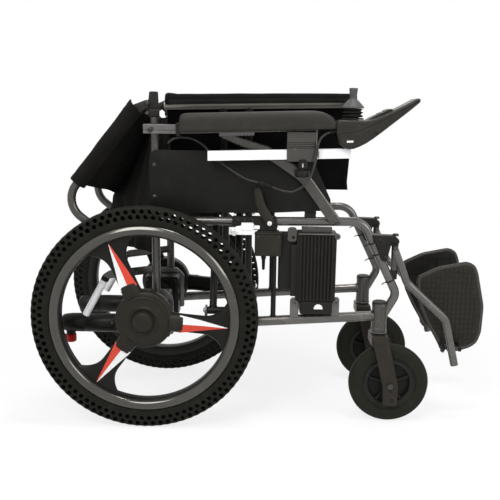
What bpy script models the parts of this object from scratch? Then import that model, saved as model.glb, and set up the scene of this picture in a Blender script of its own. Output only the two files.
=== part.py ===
"""Folding power wheelchair, folded flat for storage. Metres, +Z up, +X forward, +Y to the user's left.

Every length is worked out from the drive axle: x = 0 on its centre line, z = 0 on the ground
and y = 0 midway between the two side frames. The chair empty then moves the whole part so that
its origin lies under the middle of its bounding box.
"""

from math import acos, asin, atan2, cos, pi, radians, sin, sqrt

import bmesh
import bpy
from mathutils import Matrix, Vector

# Whole chair
GAP = 0.0004
RIGHT = -1
LEFT = 1
SIDES = (("right", RIGHT), ("left", LEFT))

# Side frames
FRAME_Y = 0.1424
POST_X = 0.0215
POST_R = 0.0105
POST_TOP_Z = 0.768
TUBE_R = 0.011
UPPER_RAIL_Z = 0.515
FRONT_BEND = (0.536, 0.520)
KNEE_BEND = (0.6265, 0.337)
BEND_R = 0.045
KNEE_R = 0.030
LOWER_RAIL_REAR_Z = 0.2425
LOWER_RAIL_FRONT_Z = 0.2800
UPRIGHT_X = 0.317
UPRIGHT_R = 0.0065
LOWER_RAIL_R = 0.0125
PLATE_T = 0.006
PLATE_Y = 0.1304
PLATE_FRONT_X = 0.062
PLATE_REAR_X = -0.030
PLATE_LOW_Z = 0.212
PLATE_HIGH_Z = 0.335

# Drive wheels
WHEEL_R = 0.280
WHEEL_STEPS = 32
WHEEL_Y = 0.201
TYRE_W = 0.042
TYRE_H = 0.0450
TYRE_IN_R = WHEEL_R - TYRE_H
TYRE_SEAT = 0.0005
RIM_H = 0.0250
RIM_R = TYRE_IN_R - TYRE_SEAT
RIM_IN_R = RIM_R - RIM_H
RIM_W = 0.034
SPOKE_Y = 0.203
SPOKE_T = 0.014
SPOKE_HUB_W = 0.050
SPOKE_MID_W = 0.034
SPOKE_RIM_W = 0.130
SPOKE_ANGLES = (-5.3, 113.8, 233.4)
HUB_R = 0.0712
HUB_IN_Y = 0.172
HUB_OUT_Y = 0.211
AXLE_R = 0.009
STAR_TIP_R = RIM_IN_R - 0.0035
STAR_BASE_R = HUB_R + 0.0048
STAR_BASE_W = 0.046
CAP_R = 0.0365
CAP_BOSS_R = 0.0235
CAP_OUT_Y = 0.240

# Motors
MOTOR_Y = 0.093
MOTOR_Z = 0.234
MOTOR_R = 0.0245
MOTOR_REAR_X = -0.236
GEARBOX_FRONT_X = 0.052
GEARBOX_REAR_X = -0.044
GEARBOX_TOP_Z = 0.322
GEARBOX_IN_Y = 0.062
CLUTCH_X = -0.214
CLUTCH_PIN_R = 0.005

# Casters
HOUSING_X = 0.5865
HOUSING_R = 0.0195
HOUSING_LOW_Z = 0.2410
HOUSING_HIGH_Z = 0.3150
STEM_R = 0.0080
CASTER_X = 0.6176
CASTER_R = 0.1022
CASTER_W = 0.034
CASTER_RIM_R = 0.066
CASTER_FORK_W = 0.040
FORK_LEG_T = 0.006
FORK_LEG_Y = 0.0265
CASTER_AXLE_R = 0.006

# Cross braces, seat rails and seat sling
PIVOT_Y = 0.1304
BRACE_FOOT_Z = 0.283
SEAT_RAIL_Z = 0.796
BRACE_R = 0.0095
BARREL_R = 0.0095
SEAT_RAIL_R = 0.011
SEAT_RAIL_REAR_X = 0.044
SEAT_RAIL_FRONT_X = 0.492
BRACE_A_X = (0.1636, 0.2265)
BRACE_PITCH = 0.0235
LUG_REACH = 0.0175
BRACE_BOLT_R = 0.004
LUG_T = 0.006
OPEN_HALF_Y = 0.2525
SLING_REAR_X = 0.048
SLING_FRONT_X = 0.514
CLOTH_T = 0.0022
SLING_ROLL_Z = 0.8045
ROLL_REACH_Y = 0.0152
ROLL_REACH_Z = 0.0175

# Back
CANE_PIVOT_X = 0.00485
CANE_PIVOT_Z = 0.800
CANE_FOLD = radians(141.6)
CANE_R = 0.0105
CANE_START = 0.0288
CANE_CORNER = 0.3229
HANDLE_BEND_R = 0.042
HANDLE_LENGTH = 0.150
GRIP_R = 0.0155
GRIP_LENGTH = 0.100
EAR_T = 0.008
HINGE_PIN_R = 0.0035
LOWER_BACK_LOW_Z = 0.430
LOWER_BACK_HEM_Z = 0.560
LOWER_BACK_HIGH_Z = 0.764
UPPER_BACK_START = 0.0275
UPPER_BACK_END = 0.2600
SLEEVE_R = 0.0192
SLEEVE_SLANT = 0.0095

# Armrests
ARM_Y = 0.172
ARM_Z = 0.7406
ARM_BAR_H = 0.022
ARM_BAR_W = 0.021
ARM_BAR_REAR_X = 0.0
ARM_SLOPE = 0.032
ARM_PIN_R = 0.005
PAD_REAR_X = 0.089
PAD_FRONT_X = 0.455
PAD_Y = 0.189
PAD_W = 0.055
PAD_H = 0.043
PAD_LOW_Z = 0.7345
PLATE_UNDER_PAD = 0.004
STRUT_Y = 0.1637
STRUT_T = 0.012
STRUT_W = 0.028
PANEL_T = 0.0025

# Joystick
BAR_Y = 0.1830
BAR_W = 0.021
BAR_H = 0.023
BAR_REAR_Z = 0.6795
BAR_SLOPE = 0.030
BAR_REAR_X = 0.154
BAR_FRONT_X = 0.500
CLAMP_REAR_X = 0.341
CLAMP_FRONT_X = 0.411
CLAMP_WALL = 0.005
KNOB_X = 0.379
KNOB_Y = 0.1905
KNOB_R = 0.018
KNOB_LOW_Z = 0.632
KNOB_H = 0.018
CASE_W = 0.066
CASE_SEAT_REAR_X = 0.4740
CASE_SEAT_FRONT_X = 0.5010
BOOT_X = 0.4935
BOOT_Z = 0.7700
STICK_TOP_Z = 0.8405
STICK_R = 0.004
STICK_FOOT_Z = 0.0016
SKIRT_Z = 0.0268
SKIRT_R = 0.0262
CABLE_R = 0.0025

# Brakes: the roller's place follows the wheel, and the rest of the brake follows the roller
BRAKE_PIVOT_Z = 0.518
BRAKE_Y = 0.173
BRAKE_SIDE_REACH = 0.0071
SHOE_R = 0.0065
SHOE_CLEARANCE = 0.02215
SHOE_Z = BRAKE_PIVOT_Z - 0.0195
SHOE_X = sqrt((WHEEL_R + SHOE_CLEARANCE + SHOE_R) ** 2 - (SHOE_Z - WHEEL_R) ** 2)
BRAKE_PIVOT_X = SHOE_X + 0.0850
HANDLE_BAR_R = 0.0095

# Battery and control box
BATTERY_REAR_X = 0.3720
BATTERY_FRONT_X = 0.4710
BATTERY_TOP_Z = 0.4926
BATTERY_IN_Y = 0.108
BATTERY_OUT_Y = 0.160
PLUG_BLOCK_X = 0.328
PLUG_BLOCK_Z = 0.345
BATTERY_FINS = 10
FIN_H = 0.007
BOX_REAR_X = 0.2680
BOX_FRONT_X = 0.3340
BOX_LOW_Z = 0.4340
BOX_TOP_Z = 0.4945
BOX_T = 0.021

# Footrests
FOOT_PIVOT_X = 0.6175
FOOT_PIN_R = 0.0045
FOOT_SLEEVE_R = 0.0085
FOOT_LUG_HIGH_Z = 0.4615
FOOT_LUG_LOW_Z = 0.3980
FOOT_LUG_T = 0.006
HANGER_R = 0.0100
FOOTPLATE_Y = 0.092
FOOTPLATE_T = 0.012
FOOTPLATE_FRONT_X = 0.865
FOOTPLATE_TOP_Z = 0.4125
PLATE_HINGE_Z = 0.1900
PLATE_HINGE_Y = 0.1244
PLATE_HINGE_R = 0.0045


def material(name, colour, roughness, metallic=0.0):
    made = bpy.data.materials.new(name)
    made.use_nodes = True
    shader = made.node_tree.nodes["Principled BSDF"]
    shader.inputs["Base Color"].default_value = (*colour, 1.0)
    shader.inputs["Roughness"].default_value = roughness
    shader.inputs["Metallic"].default_value = metallic
    return made


def helper(name, builder):
    """A hidden object that holds one shape of a sub-part until the shapes are joined."""
    mesh = bpy.data.meshes.new(name)
    bmesh.ops.remove_doubles(builder, verts=builder.verts, dist=1e-6)
    bmesh.ops.recalc_face_normals(builder, faces=builder.faces)
    builder.to_mesh(mesh)
    builder.free()
    made = bpy.data.objects.new(name, mesh)
    made.hide_render = True
    made.display_type = "WIRE"
    bpy.context.scene.collection.objects.link(made)
    return made


def block(low, high, bevel=0.0):
    """A box between two corners, with its edges rounded by bevel."""
    builder = bmesh.new()
    bmesh.ops.create_cube(builder, size=1.0)
    for vert in builder.verts:
        for axis in range(3):
            ends = sorted((low[axis], high[axis]))
            vert.co[axis] = ends[0] if vert.co[axis] < 0 else ends[1]
    if bevel:
        bmesh.ops.bevel(builder, geom=builder.edges[:], offset=bevel, segments=1, affect="EDGES")
    return helper("block", builder)


def rod(start, end, radius, sides=12, end_radius=None):
    """A round bar, or a taper when end_radius is given."""
    start = Vector(start)
    end = Vector(end)
    builder = bmesh.new()
    along = end - start
    turn = along.to_track_quat("Z", "Y").to_matrix().to_4x4()
    bmesh.ops.create_cone(
        builder,
        cap_ends=True,
        segments=sides,
        radius1=radius,
        radius2=radius if end_radius is None else end_radius,
        depth=along.length,
        matrix=Matrix.Translation((start + end) / 2) @ turn,
    )
    return helper("rod", builder)


def plate(outline, axis, low, high, bevel=0.0):
    """A flat outline pushed from low to high along an axis. The outline gives the other two coordinates."""
    index = "XYZ".index(axis)
    low, high = sorted((low, high))
    builder = bmesh.new()
    corners = []
    for first, second in outline:
        point = [first, second]
        point.insert(index, low)
        corners.append(builder.verts.new(point))
    face = builder.faces.new(corners)
    pushed = bmesh.ops.extrude_face_region(builder, geom=[face])
    shift = Vector((0, 0, 0))
    shift[index] = high - low
    moved = [item for item in pushed["geom"] if isinstance(item, bmesh.types.BMVert)]
    bmesh.ops.translate(builder, verts=moved, vec=shift)
    if bevel:
        caps = [edge for edge in builder.edges if abs(edge.verts[0].co[index] - edge.verts[1].co[index]) < 1e-9]
        bmesh.ops.bevel(builder, geom=caps, offset=bevel, segments=1, affect="EDGES")
    return helper("plate", builder)


def turned(profile, centre, axis, steps=32):
    """A profile of (radius, distance along axis) turned about that axis through centre."""
    axis = Vector(axis).normalized()
    across = axis.orthogonal().normalized()
    centre = Vector(centre)
    builder = bmesh.new()
    verts = [builder.verts.new(centre + across * radius + axis * along) for radius, along in profile]
    edges = [builder.edges.new(pair) for pair in zip(verts, verts[1:])]
    if profile[0][0] > 0:
        edges.append(builder.edges.new((verts[-1], verts[0])))
    bmesh.ops.spin(
        builder, geom=verts + edges, cent=centre, axis=axis, angle=2 * pi, steps=steps, use_merge=True
    )
    bmesh.ops.remove_doubles(builder, verts=builder.verts, dist=1e-6)
    bmesh.ops.dissolve_degenerate(builder, edges=builder.edges, dist=1e-7)
    return helper("turned", builder)


def rounded(points, radii, steps=5):
    """The points with each inner corner replaced by an arc of its own radius."""
    points = [Vector(point) for point in points]
    path = [points[0]]
    for before, corner, after, radius in zip(points, points[1:], points[2:], radii):
        back = (before - corner).normalized()
        ahead = (after - corner).normalized()
        half = back.angle(ahead) / 2
        bisector = (back + ahead).normalized()
        centre = corner + bisector * radius / sin(half)
        first = corner + back * radius / (sin(half) / cos(half)) - centre
        last = corner + ahead * radius / (sin(half) / cos(half)) - centre
        sweep = first.angle(last)
        for step in range(steps + 1):
            share = step / steps
            path.append(centre + (first * sin((1 - share) * sweep) + last * sin(share * sweep)) / sin(sweep))
    path.append(points[-1])
    return path


def tube(points, radius, resolution=2, squeeze=1.0):
    """A bar swept along points. squeeze flattens its section along Y, for flat-sided oval tube."""
    curve = bpy.data.curves.new("sweep", "CURVE")
    curve.dimensions = "3D"
    curve.bevel_depth = radius
    curve.bevel_resolution = resolution
    curve.use_fill_caps = True
    spline = curve.splines.new("POLY")
    spline.points.add(len(points) - 1)
    for point, place in zip(spline.points, points):
        point.co = (*place, 1.0)
    guide = bpy.data.objects.new("sweep", curve)
    bpy.context.scene.collection.objects.link(guide)
    mesh = bpy.data.meshes.new_from_object(guide)
    bpy.data.objects.remove(guide)
    builder = bmesh.new()
    builder.from_mesh(mesh)
    bpy.data.meshes.remove(mesh)
    middle = points[0][1]
    if squeeze != 1.0:
        for vert in builder.verts:
            vert.co.y = middle + (vert.co.y - middle) * squeeze
    return helper("tube", builder)


def lofted(rings):
    """A closed shape through rings of equal point counts, capped at both ends."""
    builder = bmesh.new()
    loops = [[builder.verts.new(point) for point in ring] for ring in rings]
    for loop, following in zip(loops, loops[1:]):
        for index in range(len(loop)):
            after = (index + 1) % len(loop)
            builder.faces.new((loop[index], loop[after], following[after], following[index]))
    builder.faces.new(loops[0][::-1])
    builder.faces.new(loops[-1])
    return helper("lofted", builder)


def cloth(rows, thickness):
    """Cloth of an even thickness on one side of a grid of points, as a closed skin."""
    builder = bmesh.new()
    grid = [[builder.verts.new(point) for point in row] for row in rows]
    for low, high in zip(grid, grid[1:]):
        for index in range(len(low) - 1):
            builder.faces.new((low[index], low[index + 1], high[index + 1], high[index]))
    mesh = bpy.data.meshes.new("cloth")
    builder.to_mesh(mesh)
    builder.free()
    made = bpy.data.objects.new("cloth", mesh)
    bpy.context.scene.collection.objects.link(made)
    skin = made.modifiers.new("thickness", "SOLIDIFY")
    skin.thickness = thickness
    skin.offset = 0.0
    solid = bpy.data.meshes.new_from_object(made.evaluated_get(bpy.context.evaluated_depsgraph_get()))
    bpy.data.objects.remove(made)
    builder = bmesh.new()
    builder.from_mesh(solid)
    return helper("cloth", builder)


def combine(base, others, operation):
    for other in others:
        change = base.modifiers.new(operation.lower(), "BOOLEAN")
        change.operation = operation
        change.solver = "EXACT"
        change.object = other


def sub_part(name, finish, pivot, solids, cuts=()):
    """Joins solids, removes cuts and makes the named piece, with its origin at pivot."""
    base = solids[0]
    combine(base, solids[1:], "UNION")
    combine(base, cuts, "DIFFERENCE")
    graph = bpy.context.evaluated_depsgraph_get()
    mesh = bpy.data.meshes.new_from_object(base.evaluated_get(graph))
    for used in [*solids, *cuts]:
        bpy.data.objects.remove(used)
    mesh.transform(Matrix.Translation(-Vector(pivot)))
    mesh.materials.clear()
    mesh.materials.append(finish)
    mesh.shade_smooth()
    mesh.set_sharp_from_angle(angle=radians(35))
    made = bpy.data.objects.new(name, mesh)
    made.parent = chair
    made.location = pivot
    bpy.context.scene.collection.objects.link(made)
    return made


def circle(centre, radius, steps, start=0.0, end=2 * pi):
    """Points of an arc in a flat outline."""
    whole = abs(end - start - 2 * pi) < 1e-9
    count = steps if whole else steps + 1
    return [
        (
            centre[0] + radius * cos(start + (end - start) * step / steps),
            centre[1] + radius * sin(start + (end - start) * step / steps),
        )
        for step in range(count)
    ]


def turning_hole(radius, sides):
    """Radius of a flat-sided hole in which a pin of this radius turns with its corners clear."""
    return (radius + GAP) / cos(pi / sides)


def blend(low, high, share):
    return low + (high - low) * share


# Layout that follows from the sizes above
CENTRE_X = (FOOTPLATE_FRONT_X - WHEEL_R) / 2
BRACE_HEIGHT = SEAT_RAIL_Z - BRACE_FOOT_Z
BRACE_LENGTH = sqrt(BRACE_HEIGHT**2 + (2 * PIVOT_Y) ** 2)
BRACE_MID_Z = (SEAT_RAIL_Z + BRACE_FOOT_Z) / 2
BRACE_B_X = (BRACE_A_X[0] + BRACE_PITCH, BRACE_A_X[1] + BRACE_PITCH)
SEAT_LOW_Z = BRACE_FOOT_Z + sqrt(BRACE_LENGTH**2 - (2 * OPEN_HALF_Y) ** 2)
SLING_HALF = OPEN_HALF_Y
SLING_BOTTOM_Z = SEAT_RAIL_Z - sqrt(SLING_HALF**2 - PIVOT_Y**2)
SEAM_Y = (CLOTH_T + GAP) / 2
CANE_OFFSET = POST_X - CANE_PIVOT_X
PLATE_OUT_Y = PLATE_Y + PLATE_T / 2
PLATE_IN_Y = PLATE_Y - PLATE_T / 2
PANEL_IN_Y = FRAME_Y + TUBE_R + GAP
PANEL_OUT_Y = PANEL_IN_Y + PANEL_T


def pad_low(x):
    """Height of the pad's underside, which rises a little to the front."""
    return PAD_LOW_Z + ARM_SLOPE * (x - PAD_REAR_X)


def bar_middle(x):
    """Height of the middle of the joystick's sliding bar."""
    return BAR_REAR_Z + BAR_SLOPE * (x - BAR_REAR_X)


def lower_rail_z(x):
    share = (x - POST_X) / (HOUSING_X - POST_X)
    return blend(LOWER_RAIL_REAR_Z, LOWER_RAIL_FRONT_Z, share)


def upper_rail_z(x):
    share = (x - POST_X) / (FRONT_BEND[0] - POST_X)
    return blend(UPPER_RAIL_Z, FRONT_BEND[1], share)


def front_tube_x(z):
    """Place of the sloping front tube's centre line at a height."""
    share = (FRONT_BEND[1] - z) / (FRONT_BEND[1] - KNEE_BEND[1])
    return blend(FRONT_BEND[0], KNEE_BEND[0], share)


def folded_cane(along, out, y):
    """A place on the folded back, from its distance up the cane and its distance in front of it."""
    up = Vector((-sin(CANE_FOLD), 0, cos(CANE_FOLD)))
    front = Vector((cos(CANE_FOLD), 0, sin(CANE_FOLD)))
    place = Vector((CANE_PIVOT_X, y, CANE_PIVOT_Z)) + up * along + front * (CANE_OFFSET + out)
    return place


for old in list(bpy.data.objects):
    bpy.data.objects.remove(old)

chair = bpy.data.objects.new("chair", None)
chair.location = (-CENTRE_X, 0, 0)
bpy.context.scene.collection.objects.link(chair)

FRAME_PAINT = material("frame_grey_paint", (0.080, 0.078, 0.075), 0.32, 0.75)
BLACK_PLASTIC = material("black_plastic", (0.014, 0.014, 0.015), 0.50)
SATIN_BLACK = material("satin_black_cast", (0.018, 0.018, 0.019), 0.38, 0.3)
RUBBER = material("black_rubber", (0.012, 0.012, 0.012), 0.75)
CLOTH = material("black_cloth", (0.010, 0.010, 0.011), 0.90)
STEEL = material("plated_steel", (0.62, 0.62, 0.60), 0.22, 1.0)
PAD = material("armrest_foam", (0.045, 0.043, 0.038), 0.70)
ALUMINIUM = material("bright_aluminium", (0.90, 0.90, 0.89), 0.30, 0.9)
RED = material("red_plastic", (0.60, 0.03, 0.02), 0.40)
ALLOY = material("grey_fin_alloy", (0.030, 0.030, 0.031), 0.45, 0.5)


def side_frame(side, s):
    y = s * FRAME_Y
    rail = rounded(
        [
            (POST_X, y, UPPER_RAIL_Z),
            (FRONT_BEND[0], y, FRONT_BEND[1]),
            (KNEE_BEND[0], y, KNEE_BEND[1]),
            (HOUSING_X + 0.004, y, HOUSING_HIGH_Z - 0.045),
        ],
        (BEND_R, KNEE_R),
        4,
    )
    lugs = []
    for x in (BRACE_A_X[0] - LUG_REACH, BRACE_B_X[1] + LUG_REACH):
        outline = [
            (s * (FRAME_Y + 0.004), lower_rail_z(x)),
            (s * (PIVOT_Y - 0.013), BRACE_FOOT_Z - 0.010),
            (s * (PIVOT_Y - 0.013), BRACE_FOOT_Z + 0.006),
            (s * (PIVOT_Y - 0.006), BRACE_FOOT_Z + 0.013),
            (s * (PIVOT_Y + 0.006), BRACE_FOOT_Z + 0.013),
            (s * (FRAME_Y + 0.004), BRACE_FOOT_Z + 0.001),
        ]
        lugs.append(plate(outline, "X", x - LUG_T / 2, x + LUG_T / 2))
    axle_plate = plate(
        [
            (PLATE_REAR_X, PLATE_LOW_Z + 0.015),
            (PLATE_REAR_X + 0.015, PLATE_LOW_Z),
            (PLATE_FRONT_X, PLATE_LOW_Z + 0.006),
            (PLATE_FRONT_X, PLATE_HIGH_Z - 0.020),
            (PLATE_FRONT_X - 0.020, PLATE_HIGH_Z),
            (PLATE_REAR_X + 0.015, PLATE_HIGH_Z),
            (PLATE_REAR_X, PLATE_HIGH_Z - 0.015),
        ],
        "Y",
        s * PLATE_IN_Y,
        s * PLATE_OUT_Y,
    )
    saddle_x = 0.405
    seat_y = s * PIVOT_Y
    saddle = plate(
        [
            (seat_y - 0.018, UPPER_RAIL_Z + 0.001),
            (seat_y + 0.018, UPPER_RAIL_Z + 0.001),
            (seat_y + 0.018, SEAT_LOW_Z + 0.002),
            (seat_y + SEAT_RAIL_R + 0.0012, SEAT_LOW_Z + 0.002),
            *circle((seat_y, SEAT_LOW_Z), SEAT_RAIL_R + 0.0006, 6, 0.0, -pi),
            (seat_y - SEAT_RAIL_R - 0.0012, SEAT_LOW_Z + 0.002),
            (seat_y - 0.018, SEAT_LOW_Z + 0.002),
        ],
        "X",
        saddle_x - 0.013,
        saddle_x + 0.013,
    )
    brake_y = s * (BRAKE_Y - BRAKE_SIDE_REACH - GAP)
    brake_mount = plate(
        [
            (BRAKE_PIVOT_X - 0.091, BRAKE_PIVOT_Z - 0.019),
            (BRAKE_PIVOT_X + 0.019, BRAKE_PIVOT_Z - 0.019),
            (BRAKE_PIVOT_X + 0.019, BRAKE_PIVOT_Z + 0.013),
            (BRAKE_PIVOT_X - 0.091, BRAKE_PIVOT_Z + 0.013),
        ],
        "Y",
        y,
        brake_y,
    )
    foot_lugs = []
    for low_z, high_z in (
        (FOOT_LUG_HIGH_Z, FOOT_LUG_HIGH_Z + FOOT_LUG_T),
        (FOOT_LUG_LOW_Z - 0.022, FOOT_LUG_LOW_Z),
    ):
        tube_x = front_tube_x((low_z + high_z) / 2)
        outline = [
            (tube_x, y - 0.0085),
            *circle((FOOT_PIVOT_X, y), 0.0085, 6, -pi / 2, pi / 2),
            (tube_x, y + 0.0085),
        ]
        foot_lugs.append(plate(outline, "Z", low_z, high_z))
    arm_pin = rod((POST_X, y, ARM_Z), (POST_X, s * (ARM_Y + ARM_BAR_W / 2 + 0.001), ARM_Z), ARM_PIN_R, 8)
    stay_lug = plate(
        [(POST_X, 0.380), (POST_X, 0.400), (-0.108, 0.380), (-0.118, 0.372), (-0.108, 0.362)],
        "Y",
        s * (PLATE_Y - 0.002),
        s * (PLATE_Y + 0.003),
    )
    stay = rod((-0.108, s * 0.1255, 0.3685), (-0.1655, s * 0.1255, 0.2640), 0.0065, 8)
    solids = [
        rod((POST_X, y, LOWER_RAIL_REAR_Z), (POST_X, y, POST_TOP_Z), POST_R, 10),
        tube(rail, TUBE_R),
        rod((POST_X, y, LOWER_RAIL_REAR_Z), (HOUSING_X, y, LOWER_RAIL_FRONT_Z), LOWER_RAIL_R, 8),
        rod((UPRIGHT_X, y, lower_rail_z(UPRIGHT_X)), (UPRIGHT_X, y, UPPER_RAIL_Z), UPRIGHT_R, 8),
        turned(
            [(0, HOUSING_LOW_Z), (HOUSING_R, HOUSING_LOW_Z), (HOUSING_R, HOUSING_HIGH_Z), (0, HOUSING_HIGH_Z)],
            (HOUSING_X, y, 0),
            (0, 0, 1),
            16,
        ),
        axle_plate,
        saddle,
        brake_mount,
        arm_pin,
        stay_lug,
        stay,
        *lugs,
        *foot_lugs,
    ]
    cuts = [
        rod(
            (HOUSING_X, y, HOUSING_LOW_Z - 0.01),
            (HOUSING_X, y, HOUSING_HIGH_Z - 0.010),
            STEM_R + GAP,
            12,
        ),
        rod(
            (BRACE_A_X[0] - 0.04, s * PIVOT_Y, BRACE_FOOT_Z),
            (BRACE_B_X[1] + 0.04, s * PIVOT_Y, BRACE_FOOT_Z),
            BRACE_BOLT_R + 0.0005,
            8,
        ),
        rod((0, s * 0.10, WHEEL_R), (0, s * 0.17, WHEEL_R), AXLE_R + 0.0006, 12),
        rod(
            (FOOT_PIVOT_X, y, FOOT_LUG_LOW_Z - 0.014),
            (FOOT_PIVOT_X, y, FOOT_LUG_HIGH_Z + 0.02),
            FOOT_PIN_R + GAP,
            8,
        ),
    ]
    sub_part(f"side_frame_{side}", FRAME_PAINT, (0, y, 0), solids, cuts)


def cross_brace(name, s, bar_x):
    """One half of the folding cross: two bars from a foot barrel on side s up to the other side's seat rail."""
    foot = Vector((0, s * PIVOT_Y, BRACE_FOOT_Z))
    head = Vector((0, -s * PIVOT_Y, SEAT_RAIL_Z))
    low_x = BRACE_A_X[0] - LUG_REACH + LUG_T / 2 + GAP
    high_x = BRACE_B_X[1] + LUG_REACH - LUG_T / 2 - GAP
    solids = [
        rod(foot + Vector((low_x, 0, 0)), foot + Vector((high_x, 0, 0)), BARREL_R, 10),
        rod(foot + Vector((low_x - LUG_T - 0.002, 0, 0)), foot + Vector((low_x + 0.01, 0, 0)), BRACE_BOLT_R, 8),
        rod(foot + Vector((high_x - 0.01, 0, 0)), foot + Vector((high_x + LUG_T + 0.002, 0, 0)), BRACE_BOLT_R, 8),
        rod(head + Vector((SEAT_RAIL_REAR_X, 0, 0)), head + Vector((SEAT_RAIL_FRONT_X, 0, 0)), SEAT_RAIL_R, 10),
    ]
    for x in bar_x:
        solids.append(rod(foot + Vector((x, 0, 0)), head + Vector((x, 0, 0)), BRACE_R, 8))
    cuts = [
        rod((bar_x[0] - 0.03, 0, BRACE_MID_Z), (bar_x[1] + 0.03, 0, BRACE_MID_Z), BRACE_BOLT_R + GAP, 8)
    ]
    sub_part(name, FRAME_PAINT, foot, solids, cuts)


def cross_bolt():
    """The long pivot bolt through all four bars, with a head and a nut."""
    head_x = BRACE_A_X[0] - BRACE_R - GAP
    nut_x = BRACE_B_X[1] + BRACE_R + GAP
    middle = (0, 0, BRACE_MID_Z)
    solids = [
        rod((head_x - 0.001, 0, BRACE_MID_Z), (nut_x + 0.001, 0, BRACE_MID_Z), BRACE_BOLT_R, 8),
        rod((head_x - 0.005, 0, BRACE_MID_Z), (head_x, 0, BRACE_MID_Z), 0.0075, 6),
        rod((nut_x, 0, BRACE_MID_Z), (nut_x + 0.006, 0, BRACE_MID_Z), 0.0075, 6),
    ]
    sub_part("cross_bolt", STEEL, middle, solids)


def seat_sling(side, s):
    """Half of the seat cloth: rolled over its rail and hanging to the fold line in the middle."""
    across = 11
    rows = []
    for index in range(across + 1):
        share = index / across
        x = blend(SLING_REAR_X, SLING_FRONT_X, share)
        row = []
        for step in range(6):
            angle = radians(blend(-31, 175, step / 5))
            bulge = 1 + 0.06 * sin(9 * pi * share + step)
            reach = (ROLL_REACH_Y * bulge, ROLL_REACH_Z * bulge)
            row.append((x, s * (PIVOT_Y + reach[0] * cos(angle)), SLING_ROLL_Z + reach[1] * sin(angle)))
        top = Vector((s * (PIVOT_Y - ROLL_REACH_Y), SLING_ROLL_Z))
        low = Vector((s * SEAM_Y, SLING_BOTTOM_Z))
        for step in range(1, 9):
            drop = step / 8
            wave = 0.0030 * sin(pi * drop) * sin(5 * pi * share + 2 * drop)
            belly = 0.0040 * sin(pi * drop)
            y = blend(top.x, low.x, drop) - s * (belly + wave)
            row.append((x, y, blend(top.y, low.y, drop)))
        rows.append(row)
    sub_part(f"seat_sling_{side}", CLOTH, (0, s * PIVOT_Y, SEAT_RAIL_Z), [cloth(rows, CLOTH_T)])


def lower_back(side, s):
    """Half of the lower back cloth, slack between the posts and gathered in upright folds."""
    rows = []
    height = 7
    along = 13
    for index in range(height + 1):
        rise = index / height
        z = blend(LOWER_BACK_LOW_Z, LOWER_BACK_HIGH_Z, rise)
        if z < LOWER_BACK_HEM_Z:
            apex_x = blend(-0.128, -0.112, (z - LOWER_BACK_LOW_Z) / (LOWER_BACK_HEM_Z - LOWER_BACK_LOW_Z))
        else:
            apex_x = blend(-0.112, 0.004, (z - LOWER_BACK_HEM_Z) / (LOWER_BACK_HIGH_Z - LOWER_BACK_HEM_Z))
        start = Vector((POST_X - 0.003, s * (FRAME_Y - POST_R - GAP)))
        end = Vector((apex_x, s * SEAM_Y))
        row = []
        for step in range(along + 1):
            share = step / along
            slack = 0.16 * (start.x - end.x) * sin(pi * share)
            fold = 0.0045 * (1 - 0.6 * rise) * sin(pi * share) * sin(7 * pi * share)
            row.append((blend(start.x, end.x, share) - fold, blend(start.y, end.y, share) - s * slack * 0.4, z))
        rows.append(row)
    sub_part(f"lower_back_{side}", CLOTH, (0, s * FRAME_Y, LOWER_BACK_LOW_Z), [cloth(rows, CLOTH_T)])


def upper_back(side, s):
    """Half of the upper back cloth: sleeved on its folded cane and hanging slack to the middle."""
    rows = []
    length = 7
    for index in range(length + 1):
        share = index / length
        sag = blend(-0.0345, -0.0680, share)
        sleeve_r = SLEEVE_R + 0.0010 * sin(5 * pi * share)
        row = []
        for step in range(8):
            angle = radians(blend(100, -150, step / 7))
            along = blend(UPPER_BACK_START, UPPER_BACK_END, share) - SLEEVE_SLANT * (1 - share) * sin(angle)
            row.append(folded_cane(along, sleeve_r * sin(angle), s * (FRAME_Y + sleeve_r * cos(angle))))
        last_y = FRAME_Y + sleeve_r * cos(radians(-150))
        last_out = sleeve_r * sin(radians(-150))
        last_along = along
        for step in range(1, 9):
            across = step / 8
            out = blend(last_out, sag, sin(across * pi / 2))
            fold = 0.0030 * sin(pi * across) * sin(4 * pi * across + 3 * share)
            along = blend(last_along, last_along - 0.006 * share, across)
            row.append(folded_cane(along, out + fold, s * blend(last_y, SEAM_Y, across)))
        rows.append(row)
    sub_part(f"upper_back_{side}", CLOTH, (CANE_PIVOT_X, s * FRAME_Y, CANE_PIVOT_Z), [cloth(rows, CLOTH_T)])


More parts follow.
